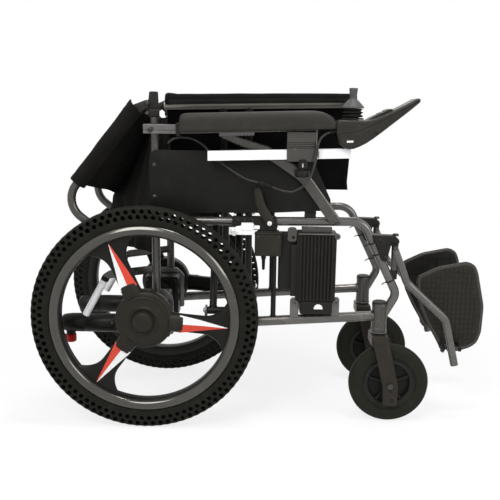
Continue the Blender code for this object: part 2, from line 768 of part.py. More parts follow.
def back_cane(side, s):
    """Back tube with its clevis and its bent end for pushing, folded back and down."""
    y = s * FRAME_Y
    corner = folded_cane(CANE_CORNER, 0, y)
    tip = folded_cane(CANE_CORNER, -HANDLE_LENGTH, y)
    path = rounded([folded_cane(CANE_START, 0, y), corner, tip], (HANDLE_BEND_R,), 6)
    solids = [tube(path, CANE_R)]
    for edge in (-1, 1):
        inner = y + edge * (EAR_T / 2 + GAP)
        outer = inner + edge * 0.004
        outline = []
        for along, out in (
            (-0.0075, -CANE_OFFSET - 0.005),
            (-0.0075, -CANE_OFFSET + 0.005),
            (CANE_START - 0.004, 0.008),
            (CANE_START + 0.020, 0.008),
            (CANE_START + 0.020, -0.008),
            (0.006, -CANE_OFFSET - 0.0085),
        ):
            place = folded_cane(along, out, y)
            outline.append((place.x, place.z))
        solids.append(plate(outline, "Y", inner, outer))
    pivot = Vector((CANE_PIVOT_X, y, CANE_PIVOT_Z))
    reach = EAR_T / 2 + GAP + 0.003
    solids.append(rod(pivot - Vector((0, reach, 0)), pivot + Vector((0, reach, 0)), HINGE_PIN_R, 8))
    sub_part(f"back_cane_{side}", FRAME_PAINT, pivot, solids)
    grip_end = HANDLE_LENGTH + 0.004
    grip_start = grip_end - GRIP_LENGTH
    origin = folded_cane(CANE_CORNER, 0, y)
    toward = (folded_cane(CANE_CORNER, -1, y) - origin).normalized()
    grip = turned(
        [
            (CANE_R + GAP, grip_start),
            (GRIP_R + 0.002, grip_start),
            (GRIP_R, grip_start + 0.006),
            (GRIP_R, grip_end - 0.004),
            (GRIP_R - 0.004, grip_end),
            (0.004, grip_end),
            (0.004, HANDLE_LENGTH + GAP),
            (CANE_R + GAP, HANDLE_LENGTH + GAP),
        ],
        origin,
        toward,
        12,
    )
    sub_part(f"push_grip_{side}", RUBBER, pivot, [grip])


def cane_hinge(side, s):
    """Hinge block on top of the post, with the ear that the folding back tube turns on."""
    y = s * FRAME_Y
    low = POST_TOP_Z + GAP
    solids = [
        block((POST_X - 0.012, y - POST_R, low), (POST_X + 0.012, y + POST_R, low + 0.0175), 0.0015),
        plate(
            [
                (POST_X - 0.012, low + 0.010),
                (POST_X + 0.011, low + 0.010),
                (POST_X + 0.011, CANE_PIVOT_Z + 0.024),
                (POST_X - 0.009, CANE_PIVOT_Z + 0.027),
                (CANE_PIVOT_X - 0.009, CANE_PIVOT_Z + 0.007),
                (CANE_PIVOT_X - 0.009, CANE_PIVOT_Z - 0.008),
            ],
            "Y",
            y - EAR_T / 2,
            y + EAR_T / 2,
        ),
    ]
    cut = rod(
        (CANE_PIVOT_X, y - 0.02, CANE_PIVOT_Z), (CANE_PIVOT_X, y + 0.02, CANE_PIVOT_Z), HINGE_PIN_R + GAP, 8
    )
    sub_part(f"cane_hinge_{side}", BLACK_PLASTIC, (POST_X, y, POST_TOP_Z), solids, [cut])


def side_panel(side, s):
    """Clothes guard between the armrest and the upper rail."""
    outline = [
        (0.010, 0.556),
        (0.010, 0.668),
        *circle((0.024, 0.6765), 0.014, 4, pi, pi / 2),
        (0.397, 0.689),
        (0.452, 0.575),
        (0.452, 0.541),
        (0.300, 0.538),
        (0.120, 0.538),
    ]
    panel = plate(outline, "Y", s * PANEL_IN_Y, s * PANEL_OUT_Y)
    screws = [
        rod((POST_X, s * (PANEL_IN_Y - GAP * 0.5), z), (POST_X, s * (PANEL_OUT_Y + 0.0015), z), 0.0045, 8)
        for z in (0.654, 0.577)
    ]
    sub_part(f"side_panel_{side}", BLACK_PLASTIC, (POST_X, s * PANEL_IN_Y, 0.6), [panel, *screws])


def armrest(side, s):
    """Flip-up armrest: rear bar, support plate and front strut in one frame, and the pad on it."""
    y = s * ARM_Y
    pivot = (POST_X, y, ARM_Z)
    strut_y = s * STRUT_Y
    strut = tube(
        rounded(
            [
                (0.1830, strut_y, 0.7325),
                (0.2900, strut_y, 0.6870),
                (0.3850, strut_y, 0.6300),
                (0.4640, strut_y, 0.5230),
            ],
            (0.060, 0.120),
            3,
        ),
        STRUT_W / 2,
        3,
        STRUT_T / STRUT_W,
    )
    half = ARM_BAR_W / 2
    plate_rear = PAD_REAR_X - 0.004
    plate_front = CLAMP_FRONT_X + 0.004
    support = [
        (plate_rear, pad_low(plate_rear) - GAP - PLATE_UNDER_PAD),
        (plate_front, pad_low(plate_front) - GAP - PLATE_UNDER_PAD),
        (plate_front, pad_low(plate_front) - GAP),
        (plate_rear, pad_low(plate_rear) - GAP),
    ]
    strut_plate = [
        (0.205, pad_low(0.205) - GAP - PLATE_UNDER_PAD / 2),
        (0.205, pad_low(0.205) - 0.016),
        (0.262, pad_low(0.262) - 0.016),
        (0.262, pad_low(0.262) - GAP - PLATE_UNDER_PAD / 2),
    ]
    solids = [
        block(
            (ARM_BAR_REAR_X, y - half, ARM_Z - ARM_BAR_H / 2),
            (PAD_REAR_X - GAP, y + half, ARM_Z + ARM_BAR_H / 2),
            0.002,
        ),
        block((0.078, y - half - 0.003, ARM_Z - 0.017), (PAD_REAR_X - GAP, y + half + 0.003, ARM_Z + 0.015), 0.002),
        plate(support, "Y", y - half, y + half),
        plate(strut_plate, "Y", s * (STRUT_Y - STRUT_T / 2), s * (STRUT_Y + STRUT_T / 2)),
        strut,
    ]
    pin_hole = rod((POST_X, y - 0.03, ARM_Z), (POST_X, y + 0.03, ARM_Z), turning_hole(ARM_PIN_R, 8), 8)
    pad_room = plate(
        [
            (0.150, pad_low(0.150) - 0.8 * GAP),
            (0.275, pad_low(0.275) - 0.8 * GAP),
            (0.275, ARM_Z + 0.030),
            (0.150, ARM_Z + 0.030),
        ],
        "Y",
        s * (STRUT_Y - STRUT_T),
        s * (STRUT_Y + STRUT_T),
    )
    sub_part(f"armrest_frame_{side}", FRAME_PAINT, pivot, solids, [pin_hole, pad_room])
    centre = s * PAD_Y
    rings = []
    for x, share_top, lift, wide in (
        (PAD_REAR_X, 0.80, 0.0, 0.86),
        (PAD_REAR_X + 0.012, 0.97, 0.0, 0.97),
        (0.200, 1.0, 0.0, 1.0),
        (0.330, 1.0, 0.0, 1.0),
        (0.400, 0.99, 0.0, 0.99),
        (0.428, 0.86, 0.0, 0.95),
        (0.445, 0.62, 0.0, 0.88),
        (PAD_FRONT_X, 0.30, 0.004, 0.74),
    ):
        half = PAD_W / 2 * wide
        low = pad_low(x) + lift
        tall = pad_low(x) + PAD_H * share_top - low
        section = (
            (-0.92, 0.0),
            (0.92, 0.0),
            (1.0, 0.18),
            (1.0, 0.62),
            (0.80, 0.92),
            (0.0, 1.0),
            (-0.80, 0.92),
            (-1.0, 0.62),
            (-1.0, 0.18),
        )
        rings.append([(x, centre + half * across, low + tall * up) for across, up in section])
    sub_part(f"armrest_pad_{side}", PAD, pivot, [lofted(rings)])


def drive_wheel(side, s):
    """Cast three-spoke wheel, its airless tyre, the star trim with the hub cap."""
    centre = (0, s * WHEEL_Y, WHEEL_R)
    axis = (0, s, 0)
    half = RIM_W / 2
    rim = turned(
        [
            (RIM_IN_R - 0.004, -half),
            (RIM_R, -half),
            (RIM_R, half - 0.004),
            (RIM_R - 0.006, half),
            (RIM_IN_R + 0.007, half),
            (RIM_IN_R, half - 0.004),
        ],
        centre,
        axis,
        WHEEL_STEPS,
    )
    hub = turned(
        [
            (0, HUB_IN_Y - WHEEL_Y),
            (0.045, HUB_IN_Y - WHEEL_Y),
            (HUB_R - 0.004, HUB_IN_Y - WHEEL_Y + 0.006),
            (HUB_R, HUB_OUT_Y - WHEEL_Y - 0.006),
            (HUB_R - 0.006, HUB_OUT_Y - WHEEL_Y),
            (0, HUB_OUT_Y - WHEEL_Y),
        ],
        centre,
        axis,
        16,
    )
    spokes = []
    for degrees in SPOKE_ANGLES:
        angle = radians(degrees)
        outline = []
        stations = (
            (HUB_R - 0.015, SPOKE_HUB_W),
            (HUB_R + 0.0288, SPOKE_MID_W + 0.004),
            (RIM_IN_R - 0.072, SPOKE_MID_W),
            (RIM_IN_R - 0.040, SPOKE_MID_W + 0.014),
            (RIM_IN_R - 0.020, SPOKE_MID_W + 0.042),
            (RIM_IN_R + 0.004, SPOKE_RIM_W),
        )
        for radius, width in stations:
            outline.append((radius, width / 2))
        for radius, width in reversed(stations):
            outline.append((radius, -width / 2))
        turned_outline = [
            (r * cos(angle) - w * sin(angle), WHEEL_R + r * sin(angle) + w * cos(angle)) for r, w in outline
        ]
        spokes.append(plate(turned_outline, "Y", s * (SPOKE_Y - SPOKE_T / 2), s * (SPOKE_Y + SPOKE_T / 2)))
    axle = rod((0, s * (PLATE_IN_Y + GAP), WHEEL_R), (0, s * (HUB_IN_Y + 0.005), WHEEL_R), AXLE_R, 12)
    sub_part(f"drive_wheel_{side}", SATIN_BLACK, centre, [rim, hub, *spokes, axle])

    wide = TYRE_W / 2
    tyre = turned(
        [
            (TYRE_IN_R, -wide + 0.006),
            (WHEEL_R - 0.016, -wide),
            (WHEEL_R - 0.004, -wide + 0.006),
            (WHEEL_R, -wide + 0.014),
            (WHEEL_R, wide - 0.014),
            (WHEEL_R - 0.004, wide - 0.006),
            (WHEEL_R - 0.016, wide),
            (TYRE_IN_R, wide - 0.006),
        ],
        centre,
        axis,
        WHEEL_STEPS,
    )
    sub_part(f"drive_tyre_{side}", RUBBER, centre, [tyre])

    face_y = HUB_OUT_Y + GAP
    cap = turned(
        [
            (0, face_y),
            (0.052, face_y),
            (0.052, face_y + 0.005),
            (CAP_R + 0.004, face_y + 0.010),
            (CAP_R, face_y + 0.016),
            (CAP_BOSS_R + 0.003, face_y + 0.018),
            (CAP_BOSS_R, CAP_OUT_Y - 0.003),
            (CAP_BOSS_R - 0.004, CAP_OUT_Y),
            (0, CAP_OUT_Y),
        ],
        (0, 0, WHEEL_R),
        axis,
        18,
    )
    blades = []
    for degrees in SPOKE_ANGLES:
        angle = radians(degrees)

        def at(radius, width, depth):
            return (
                radius * cos(angle) - width * sin(angle),
                s * depth,
                WHEEL_R + radius * sin(angle) + width * cos(angle),
            )

        low = SPOKE_Y + SPOKE_T / 2 + GAP
        raised = face_y + 0.004
        base = STAR_BASE_W / 2
        outer = [
            [at(0.046, -base * 0.8, face_y), at(0.046, 0, raised), at(0.046, base * 0.8, face_y)],
            [at(STAR_BASE_R, -base, face_y), at(STAR_BASE_R, 0, raised + 0.001), at(STAR_BASE_R, base, face_y)],
            [at(STAR_TIP_R, -0.0015, low), at(STAR_TIP_R, 0, low + 0.002), at(STAR_TIP_R, 0.0015, low)],
        ]
        rings = []
        for (left, ridge, right), back in zip(outer, (face_y + 0.0002, face_y + 0.0002, low)):
            under = Vector(ridge)
            under.y = s * back
            rings.append([left, ridge, right, tuple(under)])
        blades.append(lofted(rings))
    sub_part(f"wheel_star_{side}", RED, centre, [cap, *blades])


def gear_motor(side, s):
    """Right-angle geared motor: a gearbox on the axle plate and a motor that points to the rear."""
    y = s * MOTOR_Y
    outer = s * (PLATE_IN_Y - GAP)
    gearbox = block(
        (GEARBOX_REAR_X, outer, MOTOR_Z - 0.028), (GEARBOX_FRONT_X, s * GEARBOX_IN_Y, GEARBOX_TOP_Z), 0.005
    )
    motor = turned(
        [
            (0, GEARBOX_REAR_X + 0.01),
            (MOTOR_R, GEARBOX_REAR_X + 0.01),
            (MOTOR_R, MOTOR_REAR_X + 0.040),
            (MOTOR_R - 0.002, MOTOR_REAR_X + 0.004),
            (MOTOR_R - 0.006, MOTOR_REAR_X),
            (0, MOTOR_REAR_X),
        ],
        (0, y, MOTOR_Z),
        (1, 0, 0),
        12,
    )
    boss = rod((CLUTCH_X, y, MOTOR_Z - 0.018), (CLUTCH_X, y, MOTOR_Z - 0.031), 0.012, 12)
    neck = rod((-0.075, y, MOTOR_Z - 0.010), (-0.030, y, MOTOR_Z - 0.002), 0.026, 14, 0.031)
    pin = rod((CLUTCH_X, y, MOTOR_Z - 0.02), (CLUTCH_X, y, MOTOR_Z - 0.046), CLUTCH_PIN_R, 8)
    sub_part(f"gear_motor_{side}", SATIN_BLACK, (0, y, WHEEL_R), [gearbox, motor, neck, boss, pin])

    top = MOTOR_Z - 0.031 - GAP
    low = top - 0.014
    lever = [
        rod((CLUTCH_X, y, top), (CLUTCH_X, y, low), 0.0125, 12),
        block((CLUTCH_X - 0.030, y - 0.006, low + 0.001), (CLUTCH_X, y + 0.006, top - 0.003), 0.002),
    ]
    cut = rod((CLUTCH_X, y, top + 0.01), (CLUTCH_X, y, low - 0.01), turning_hole(CLUTCH_PIN_R, 8), 8)
    sub_part(f"clutch_lever_{side}", RED, (CLUTCH_X, y, low), lever, [cut])


def caster(side, s):
    y = s * FRAME_Y
    stem = (HOUSING_X, y, HOUSING_LOW_Z)
    crown_top = HOUSING_LOW_Z - GAP
    solids = [
        rod((HOUSING_X, y, crown_top - 0.010), (HOUSING_X, y, HOUSING_HIGH_Z - 0.012), STEM_R, 12),
        rod((HOUSING_X, y, crown_top - 0.006), (HOUSING_X, y, crown_top), 0.021, 12),
        block(
            (HOUSING_X - 0.021, y - FORK_LEG_Y - FORK_LEG_T, crown_top - 0.022),
            (HOUSING_X + 0.021, y + FORK_LEG_Y + FORK_LEG_T, crown_top - 0.004),
            0.003,
        ),
        rod(
            (CASTER_X, y - FORK_LEG_Y - FORK_LEG_T - 0.004, CASTER_R),
            (CASTER_X, y + FORK_LEG_Y + FORK_LEG_T + 0.004, CASTER_R),
            CASTER_AXLE_R,
            8,
        ),
    ]
    half = CASTER_FORK_W / 2
    outline = [
        (HOUSING_X - half, crown_top - 0.010),
        (CASTER_X - half + 0.001, CASTER_R),
        (CASTER_X - half + 0.006, 0.056),
        (CASTER_X - half + 0.014, 0.050),
        (CASTER_X + half - 0.008, 0.050),
        (CASTER_X + half, 0.058),
        (CASTER_X + half, CASTER_R),
        (HOUSING_X + half, crown_top - 0.010),
    ]
    for edge in (-1, 1):
        inner = y + edge * FORK_LEG_Y
        solids.append(plate(outline, "Y", inner, inner + edge * FORK_LEG_T))
    sub_part(f"caster_fork_{side}", SATIN_BLACK, stem, solids)

    axle = (CASTER_X, y, CASTER_R)
    axis = (0, 1, 0)
    wide = CASTER_W / 2
    rim = turned(
        [
            (CASTER_RIM_R - 0.011, -wide + 0.003),
            (CASTER_RIM_R, -wide + 0.003),
            (CASTER_RIM_R, wide - 0.003),
            (CASTER_RIM_R - 0.011, wide - 0.003),
        ],
        axle,
        axis,
        24,
    )
    bore = CASTER_AXLE_R + GAP
    hub_reach = FORK_LEG_Y - 0.0006
    hub = turned(
        [(bore, -hub_reach), (0.015, -hub_reach), (0.015, hub_reach), (bore, hub_reach)], axle, axis, 10
    )
    spokes = []
    for number in range(5):
        angle = 2 * pi * number / 5 + 0.35
        centre_line = Vector((cos(angle), 0, sin(angle)))
        start = Vector(axle) + centre_line * 0.0125
        end = Vector(axle) + centre_line * (CASTER_RIM_R - 0.008)
        spokes.append(rod(start, end, 0.0075, 5, 0.0055))
    sub_part(f"caster_wheel_{side}", SATIN_BLACK, axle, [rim, hub, *spokes])
    tyre = turned(
        [
            (CASTER_RIM_R + GAP, -wide + 0.003),
            (CASTER_R - 0.010, -wide),
            (CASTER_R - 0.0015, -wide + 0.009),
            (CASTER_R, 0),
            (CASTER_R - 0.0015, wide - 0.009),
            (CASTER_R - 0.010, wide),
            (CASTER_RIM_R + GAP, wide - 0.003),
        ],
        axle,
        axis,
        24,
    )
    sub_part(f"caster_tyre_{side}", RUBBER, axle, [tyre])


def footrest(side, s):
    """Swing-away hanger, and the footplate that is flipped up on its inner side."""
    y = s * FRAME_Y
    hinge_y = s * PLATE_HINGE_Y
    pivot = (FOOT_PIVOT_X, y, FOOT_LUG_LOW_Z)
    sleeve_top = FOOT_LUG_HIGH_Z - GAP
    sleeve_low = FOOT_LUG_LOW_Z + GAP
    path = rounded(
        [
            (FOOT_PIVOT_X, y, 0.4500),
            (0.6520, y, 0.3660),
            (0.7550, y, 0.2720),
            (0.7855, y, 0.1510),
        ],
        (0.035, 0.045),
        4,
    )
    lug_x = 0.776
    pin_rear = 0.7545
    pin_front = 0.8060
    solids = [
        tube(path, HANGER_R),
        rod((FOOT_PIVOT_X, y, sleeve_low), (FOOT_PIVOT_X, y, sleeve_top), FOOT_SLEEVE_R, 10),
        rod((FOOT_PIVOT_X, y, sleeve_low - 0.010), (FOOT_PIVOT_X, y, sleeve_top + 0.010), FOOT_PIN_R, 8),
        block((lug_x - 0.0085, y, PLATE_HINGE_Z - 0.0065), (lug_x + 0.0085, hinge_y, PLATE_HINGE_Z + 0.0065)),
        rod((pin_rear, hinge_y, PLATE_HINGE_Z), (pin_front, hinge_y, PLATE_HINGE_Z), PLATE_HINGE_R, 8),
    ]
    sub_part(f"footrest_hanger_{side}", FRAME_PAINT, pivot, solids)

    outline = [
        (0.6880, 0.3710),
        (0.7420, 0.3975),
        (0.8150, FOOTPLATE_TOP_Z),
        (0.8350, 0.4040),
        (0.8440, 0.3850),
        (FOOTPLATE_FRONT_X, 0.2950),
        (0.8635, 0.2240),
        (0.8540, 0.1960),
        (0.8369, 0.1822),
        (0.8052, 0.1719),
        (0.7663, 0.1664),
        (0.7427, 0.2097),
        (0.7228, 0.2423),
        (0.6992, 0.2904),
        (0.6920, 0.3200),
    ]
    inner = s * (FOOTPLATE_Y - FOOTPLATE_T / 2)
    outer = s * (FOOTPLATE_Y + FOOTPLATE_T / 2)
    panel = plate(outline, "Y", inner, outer, 0.002)
    ears = []
    rear_ear = (0.7560, 0.7620)
    front_ear = (0.7985, 0.8045)
    for low_x, high_x in (rear_ear, front_ear):
        ear = [
            (s * FOOTPLATE_Y, PLATE_HINGE_Z - 0.009),
            *circle((hinge_y, PLATE_HINGE_Z), 0.009, 6, -pi / 2, -pi / 2 + s * pi),
            (s * FOOTPLATE_Y, PLATE_HINGE_Z + 0.009),
        ]
        ears.append(plate(ear, "X", low_x, high_x))
    hole = rod(
        (rear_ear[0] - 0.01, hinge_y, PLATE_HINGE_Z),
        (front_ear[1] + 0.01, hinge_y, PLATE_HINGE_Z),
        turning_hole(PLATE_HINGE_R, 8),
        8,
    )
    notch = block(
        (rear_ear[1] + 0.0015, s * (FOOTPLATE_Y - 0.02), 0.15),
        (front_ear[0] - 0.0010, s * (FOOTPLATE_Y + 0.02), PLATE_HINGE_Z + 0.005),
    )
    sub_part(f"footplate_{side}", BLACK_PLASTIC, (0.785, hinge_y, PLATE_HINGE_Z), [panel, *ears], [hole, notch])


def brake(side, s):
    y = s * BRAKE_Y
    pivot = Vector((BRAKE_PIVOT_X, y, BRAKE_PIVOT_Z))
    inner = s * (BRAKE_Y - BRAKE_SIDE_REACH)
    lever_plate = plate(
        [
            (BRAKE_PIVOT_X - 0.012, BRAKE_PIVOT_Z - 0.010),
            (BRAKE_PIVOT_X + 0.012, BRAKE_PIVOT_Z - 0.010),
            (BRAKE_PIVOT_X + 0.010, BRAKE_PIVOT_Z + 0.012),
            (BRAKE_PIVOT_X - 0.010, BRAKE_PIVOT_Z + 0.034),
            (BRAKE_PIVOT_X - 0.022, BRAKE_PIVOT_Z + 0.034),
        ],
        "Y",
        inner,
        inner + s * 0.005,
    )
    handle_y = inner + s * 0.0045
    handle_foot = (BRAKE_PIVOT_X - 0.0100, handle_y, BRAKE_PIVOT_Z + 0.0240)
    handle_top = (BRAKE_PIVOT_X - 0.0315, handle_y, BRAKE_PIVOT_Z + 0.0820)
    handle = rod(handle_foot, handle_top, HANDLE_BAR_R - 0.001, 10, HANDLE_BAR_R)
    sub_part(f"brake_lever_{side}", PAD, pivot, [lever_plate, handle])
    link_y = s * (BRAKE_Y - 0.001)
    solids = [
        rod((SHOE_X + 0.048, link_y, SHOE_Z + 0.0135), (SHOE_X + 0.004, link_y, SHOE_Z + 0.006), 0.0045, 8),
        block(
            (SHOE_X + 0.018, inner, SHOE_Z + 0.0015),
            (SHOE_X + 0.044, s * (BRAKE_Y + 0.008), SHOE_Z + 0.0185),
            0.001,
        ),
        rod((SHOE_X, s * (BRAKE_Y - 0.006), SHOE_Z), (SHOE_X, s * (WHEEL_Y + 0.013), SHOE_Z), SHOE_R, 10),
    ]
    sub_part(f"brake_shoe_{side}", STEEL, (SHOE_X, y, SHOE_Z), solids)


def battery():
    """Finned battery case that hangs between the rails of the right side frame."""
    s = RIGHT
    low_x = BATTERY_REAR_X
    high_x = BATTERY_FRONT_X
    middle_x = (low_x + high_x) / 2 + 0.0075
    low_z = lower_rail_z(high_x) + LOWER_RAIL_R + 0.0006
    high_z = BATTERY_TOP_Z
    inner = s * BATTERY_IN_Y
    outer = s * BATTERY_OUT_Y
    hanger_top = upper_rail_z(low_x + 0.012) - TUBE_R * cos(pi / 8) - 2.5 * GAP
    foot_z = low_z + 0.0193
    solids = [
        block((low_x, inner, low_z), (high_x, outer, high_z), 0.004),
        block(
            (low_x + 0.012, s * (BATTERY_OUT_Y - 0.025), high_z - 0.002),
            (high_x - 0.012, s * (BATTERY_OUT_Y - 0.010), hanger_top),
        ),
        block(
            (low_x - 0.020, s * (BATTERY_OUT_Y - 0.0055), high_z - 0.0186),
            (low_x + 0.003, s * (BATTERY_OUT_Y - 0.0015), high_z + 0.0104),
            0.001,
        ),
        rod((middle_x, outer - s * 0.010, foot_z), (middle_x, outer + s * 0.011, foot_z), 0.0130, 12, 0.0090),
        block(
            (PLUG_BLOCK_X, inner + s * 0.003, PLUG_BLOCK_Z),
            (low_x + 0.003, outer - s * 0.012, high_z - 0.004),
        ),
        block(
            (low_x - 0.0135, s * (BATTERY_OUT_Y - 0.0056), low_z + 0.045),
            (low_x + 0.003, s * (BATTERY_OUT_Y - 0.0016), high_z - 0.030),
        ),
    ]
    corners = [(x, z) for x in (low_x - 0.001, high_x + 0.001) for z in (high_z - 0.0086, low_z + 0.0328)]
    for x, z in corners:
        solids.append(rod((x, outer - s * 0.010, z), (x, outer + s * 0.0015, z), 0.0075, 8))
    pitch = (high_x - low_x - 0.012) / BATTERY_FINS
    for number in range(BATTERY_FINS):
        x = low_x + 0.006 + pitch * (number + 0.5)
        solids.append(
            block(
                (x - pitch * 0.25, outer - s * 0.002, low_z + 0.036),
                (x + pitch * 0.25, outer + s * FIN_H, high_z - 0.006),
            )
        )
    sub_part("battery_case", ALLOY, (low_x, inner, low_z), solids)


def control_box():
    s = RIGHT
    inner = s * (FRAME_Y + UPRIGHT_R + GAP)
    outer = inner + s * BOX_T
    solids = [
        block((BOX_REAR_X, inner, BOX_LOW_Z), (BOX_FRONT_X, outer, BOX_TOP_Z), 0.003),
        block(
            (BOX_REAR_X + 0.022, inner, BOX_TOP_Z - 0.0045),
            (BOX_FRONT_X - 0.022, outer - s * 0.006, BOX_TOP_Z + 0.004),
            0.001,
        ),
    ]
    sub_part("control_box", BLACK_PLASTIC, (BOX_REAR_X, inner, BOX_LOW_Z), solids)


def joystick():
    s = RIGHT
    y = s * BAR_Y
    half = BAR_W / 2
    rise = BAR_H / 2

    def bar_outline(rear, front, spare):
        return [
            (rear, bar_middle(rear) - rise - spare),
            (front, bar_middle(front) - rise - spare),
            (front, bar_middle(front) + rise + spare),
            (rear, bar_middle(rear) + rise + spare),
        ]

    bar = [plate(bar_outline(BAR_REAR_X, BAR_FRONT_X, 0.0), "Y", y - half, y + half)]
    sub_part("joystick_bar", ALUMINIUM, (BAR_REAR_X, y, BAR_REAR_Z), bar)

    clamp_low = bar_middle(CLAMP_REAR_X) - rise - GAP - CLAMP_WALL
    clamp_outline = [
        (CLAMP_REAR_X, clamp_low),
        (CLAMP_FRONT_X, clamp_low),
        (CLAMP_FRONT_X, pad_low(CLAMP_FRONT_X) - 2 * GAP - PLATE_UNDER_PAD),
        (CLAMP_REAR_X, pad_low(CLAMP_REAR_X) - 2 * GAP - PLATE_UNDER_PAD),
    ]
    clamp = [plate(clamp_outline, "Y", y - half - 0.006, y + half + 0.002, 0.002)]
    low = bar_middle(KNOB_X) - rise - GAP
    clamp_cuts = [
        plate(bar_outline(CLAMP_REAR_X - 0.01, CLAMP_FRONT_X + 0.01, GAP), "Y", y - half - GAP, y + half + GAP),
        rod((KNOB_X, s * KNOB_Y, clamp_low - 0.01), (KNOB_X, s * KNOB_Y, low + 0.001), 0.0045, 10),
    ]
    sub_part("bar_clamp", BLACK_PLASTIC, (CLAMP_REAR_X, y, clamp_low), clamp, clamp_cuts)

    knob_top = KNOB_LOW_Z + KNOB_H
    knob = [
        rod((KNOB_X, s * KNOB_Y, knob_top - 0.004), (KNOB_X, s * KNOB_Y, low + 0.0001), 0.0040, 8),
        turned(
            [
                (0, knob_top),
                (KNOB_R - 0.006, knob_top),
                (KNOB_R, knob_top - 0.005),
                (KNOB_R, KNOB_LOW_Z + 0.003),
                (KNOB_R - 0.004, KNOB_LOW_Z),
                (0, KNOB_LOW_Z),
            ],
            (KNOB_X, s * KNOB_Y, 0),
            (0, 0, 1),
            14,
        ),
    ]
    sub_part("clamp_knob", BLACK_PLASTIC, (KNOB_X, s * KNOB_Y, knob_top), knob)

    outline = [
        (CASE_SEAT_REAR_X, bar_middle(CASE_SEAT_REAR_X) + rise + GAP),
        (CASE_SEAT_FRONT_X, bar_middle(CASE_SEAT_FRONT_X) + rise + GAP),
        (0.5185, 0.7120),
        (0.5597, 0.7403),
        (0.6150, 0.7870),
        (0.6480, 0.8150),
        (0.6370, 0.8190),
        (0.6120, 0.8060),
        (0.5830, 0.7925),
        (0.5450, 0.7760),
        (0.5200, BOOT_Z),
        (0.4600, BOOT_Z),
        (0.4560, 0.7600),
        (0.4590, 0.7390),
        (0.4680, 0.7160),
    ]
    wide = CASE_W / 2
    case = [plate(outline, "Y", y - wide, y + wide, 0.004)]
    slope = atan2(0.7925 - 0.7760, 0.5830 - 0.5450)
    along = Vector((cos(slope), 0, sin(slope)))
    normal = Vector((-sin(slope), 0, cos(slope)))
    first = Vector((0.5450, y, 0.7760))
    wells = []
    buttons = []
    for name, distance, across in (
        ("power_button", 0.012, 0.0),
        ("speed_button", 0.030, 0.013),
        ("horn_button", 0.030, -0.013),
    ):
        spot = first + along * distance + Vector((0, across, 0))
        wells.append(rod(spot + normal * 0.010, spot - normal * 0.0080, 0.0070, 10))
        buttons.append((name, spot))
    wells.append(
        rod((BOOT_X, y, BOOT_Z + 0.01), (BOOT_X, y, BOOT_Z - 0.012), 0.0160, 16)
    )
    sub_part("joystick_case", BLACK_PLASTIC, (BOOT_X, y, BOOT_Z), case, wells)
    for name, spot in buttons:
        cap = [rod(spot - normal * 0.0036, spot + normal * 0.0022, 0.0066, 12, 0.0058)]
        stem = rod(spot - normal * 0.0057, spot - normal * 0.0030, 0.0030, 8)
        sub_part(name, PAD, spot, [*cap, stem])

    centre = (BOOT_X, y, BOOT_Z)
    boot = turned(
        [
            (STICK_R + 0.0008, -0.0080),
            (0.0140, -0.0080),
            (0.0150, 0.0030),
            (0.0240, 0.0050),
            (0.0240, 0.0080),
            (0.0190, 0.0110),
            (0.0235, 0.0150),
            (0.0190, 0.0190),
            (0.0200, SKIRT_Z - 0.0030),
            (0.0100, SKIRT_Z - 0.0030),
            (0.0085, 0.0030),
            (STICK_R + 0.0008, 0.0010),
        ],
        centre,
        (0, 0, 1),
        14,
    )
    sub_part("joystick_boot", RUBBER, centre, [boot])
    stick_top = STICK_TOP_Z - BOOT_Z
    lever = turned(
        [
            (0, STICK_FOOT_Z),
            (STICK_R, STICK_FOOT_Z),
            (STICK_R, SKIRT_Z),
            (SKIRT_R - 0.0010, SKIRT_Z),
            (SKIRT_R, SKIRT_Z + 0.0025),
            (0.0080, SKIRT_Z + 0.0185),
            (0.0072, SKIRT_Z + 0.0230),
            (0.0100, stick_top - 0.0020),
            (0.0085, stick_top),
            (0, stick_top),
        ],
        centre,
        (0, 0, 1),
        14,
    )
    sub_part("joystick_lever", BLACK_PLASTIC, centre, [lever])


def cable():
    """Control lead that loops from the joystick down and back up under the arm, with its plug midway."""
    route = [
        (0.4540, -0.2010, 0.7430),
        (0.4492, -0.2035, 0.7418),
        (0.4352, -0.2060, 0.7371),
        (0.4240, -0.2085, 0.7300),
        (0.4169, -0.2095, 0.7210),
        (0.4118, -0.2100, 0.7047),
        (0.4085, -0.2095, 0.6745),
        (0.3986, -0.2090, 0.6391),
        (0.3829, -0.2060, 0.6145),
        (0.3669, -0.2010, 0.6027),
        (0.3505, -0.1980, 0.5974),
        (0.3268, -0.1940, 0.6014),
        (0.3077, -0.1910, 0.6080),
        (0.2741, -0.1860, 0.6177),
        (0.2476, -0.1810, 0.6241),
        (0.2234, -0.1760, 0.6364),
        (0.2015, -0.1710, 0.6502),
        (0.1797, -0.1670, 0.6664),
        (0.1579, -0.1655, 0.6851),
        (0.1435, -0.1655, 0.7015),
        (0.1268, -0.1670, 0.7130),
        (0.1101, -0.1690, 0.7195),
        (0.0910, -0.1700, 0.7215),
        (0.0717, -0.1690, 0.7180),
        (0.0569, -0.1670, 0.7074),
    ]
    points = smooth_route(route, 48)
    lead = tube(points, CABLE_R, 2)
    sub_part("control_cable", RUBBER, route[0], [lead])
    middle = Vector(route[12]).lerp(Vector(route[13]), 0.5)
    direction = (Vector(route[13]) - Vector(route[12])).normalized()
    start = middle - direction * 0.018
    bore = CABLE_R + GAP * 2
    shell = turned(
        [
            (bore, 0.0),
            (0.0060, 0.0),
            (0.0078, 0.004),
            (0.0078, 0.017),
            (0.0090, 0.018),
            (0.0090, 0.030),
            (0.0060, 0.036),
            (bore, 0.036),
        ],
        start,
        direction,
        8,
    )
    sub_part("cable_connector", BLACK_PLASTIC, middle, [shell])


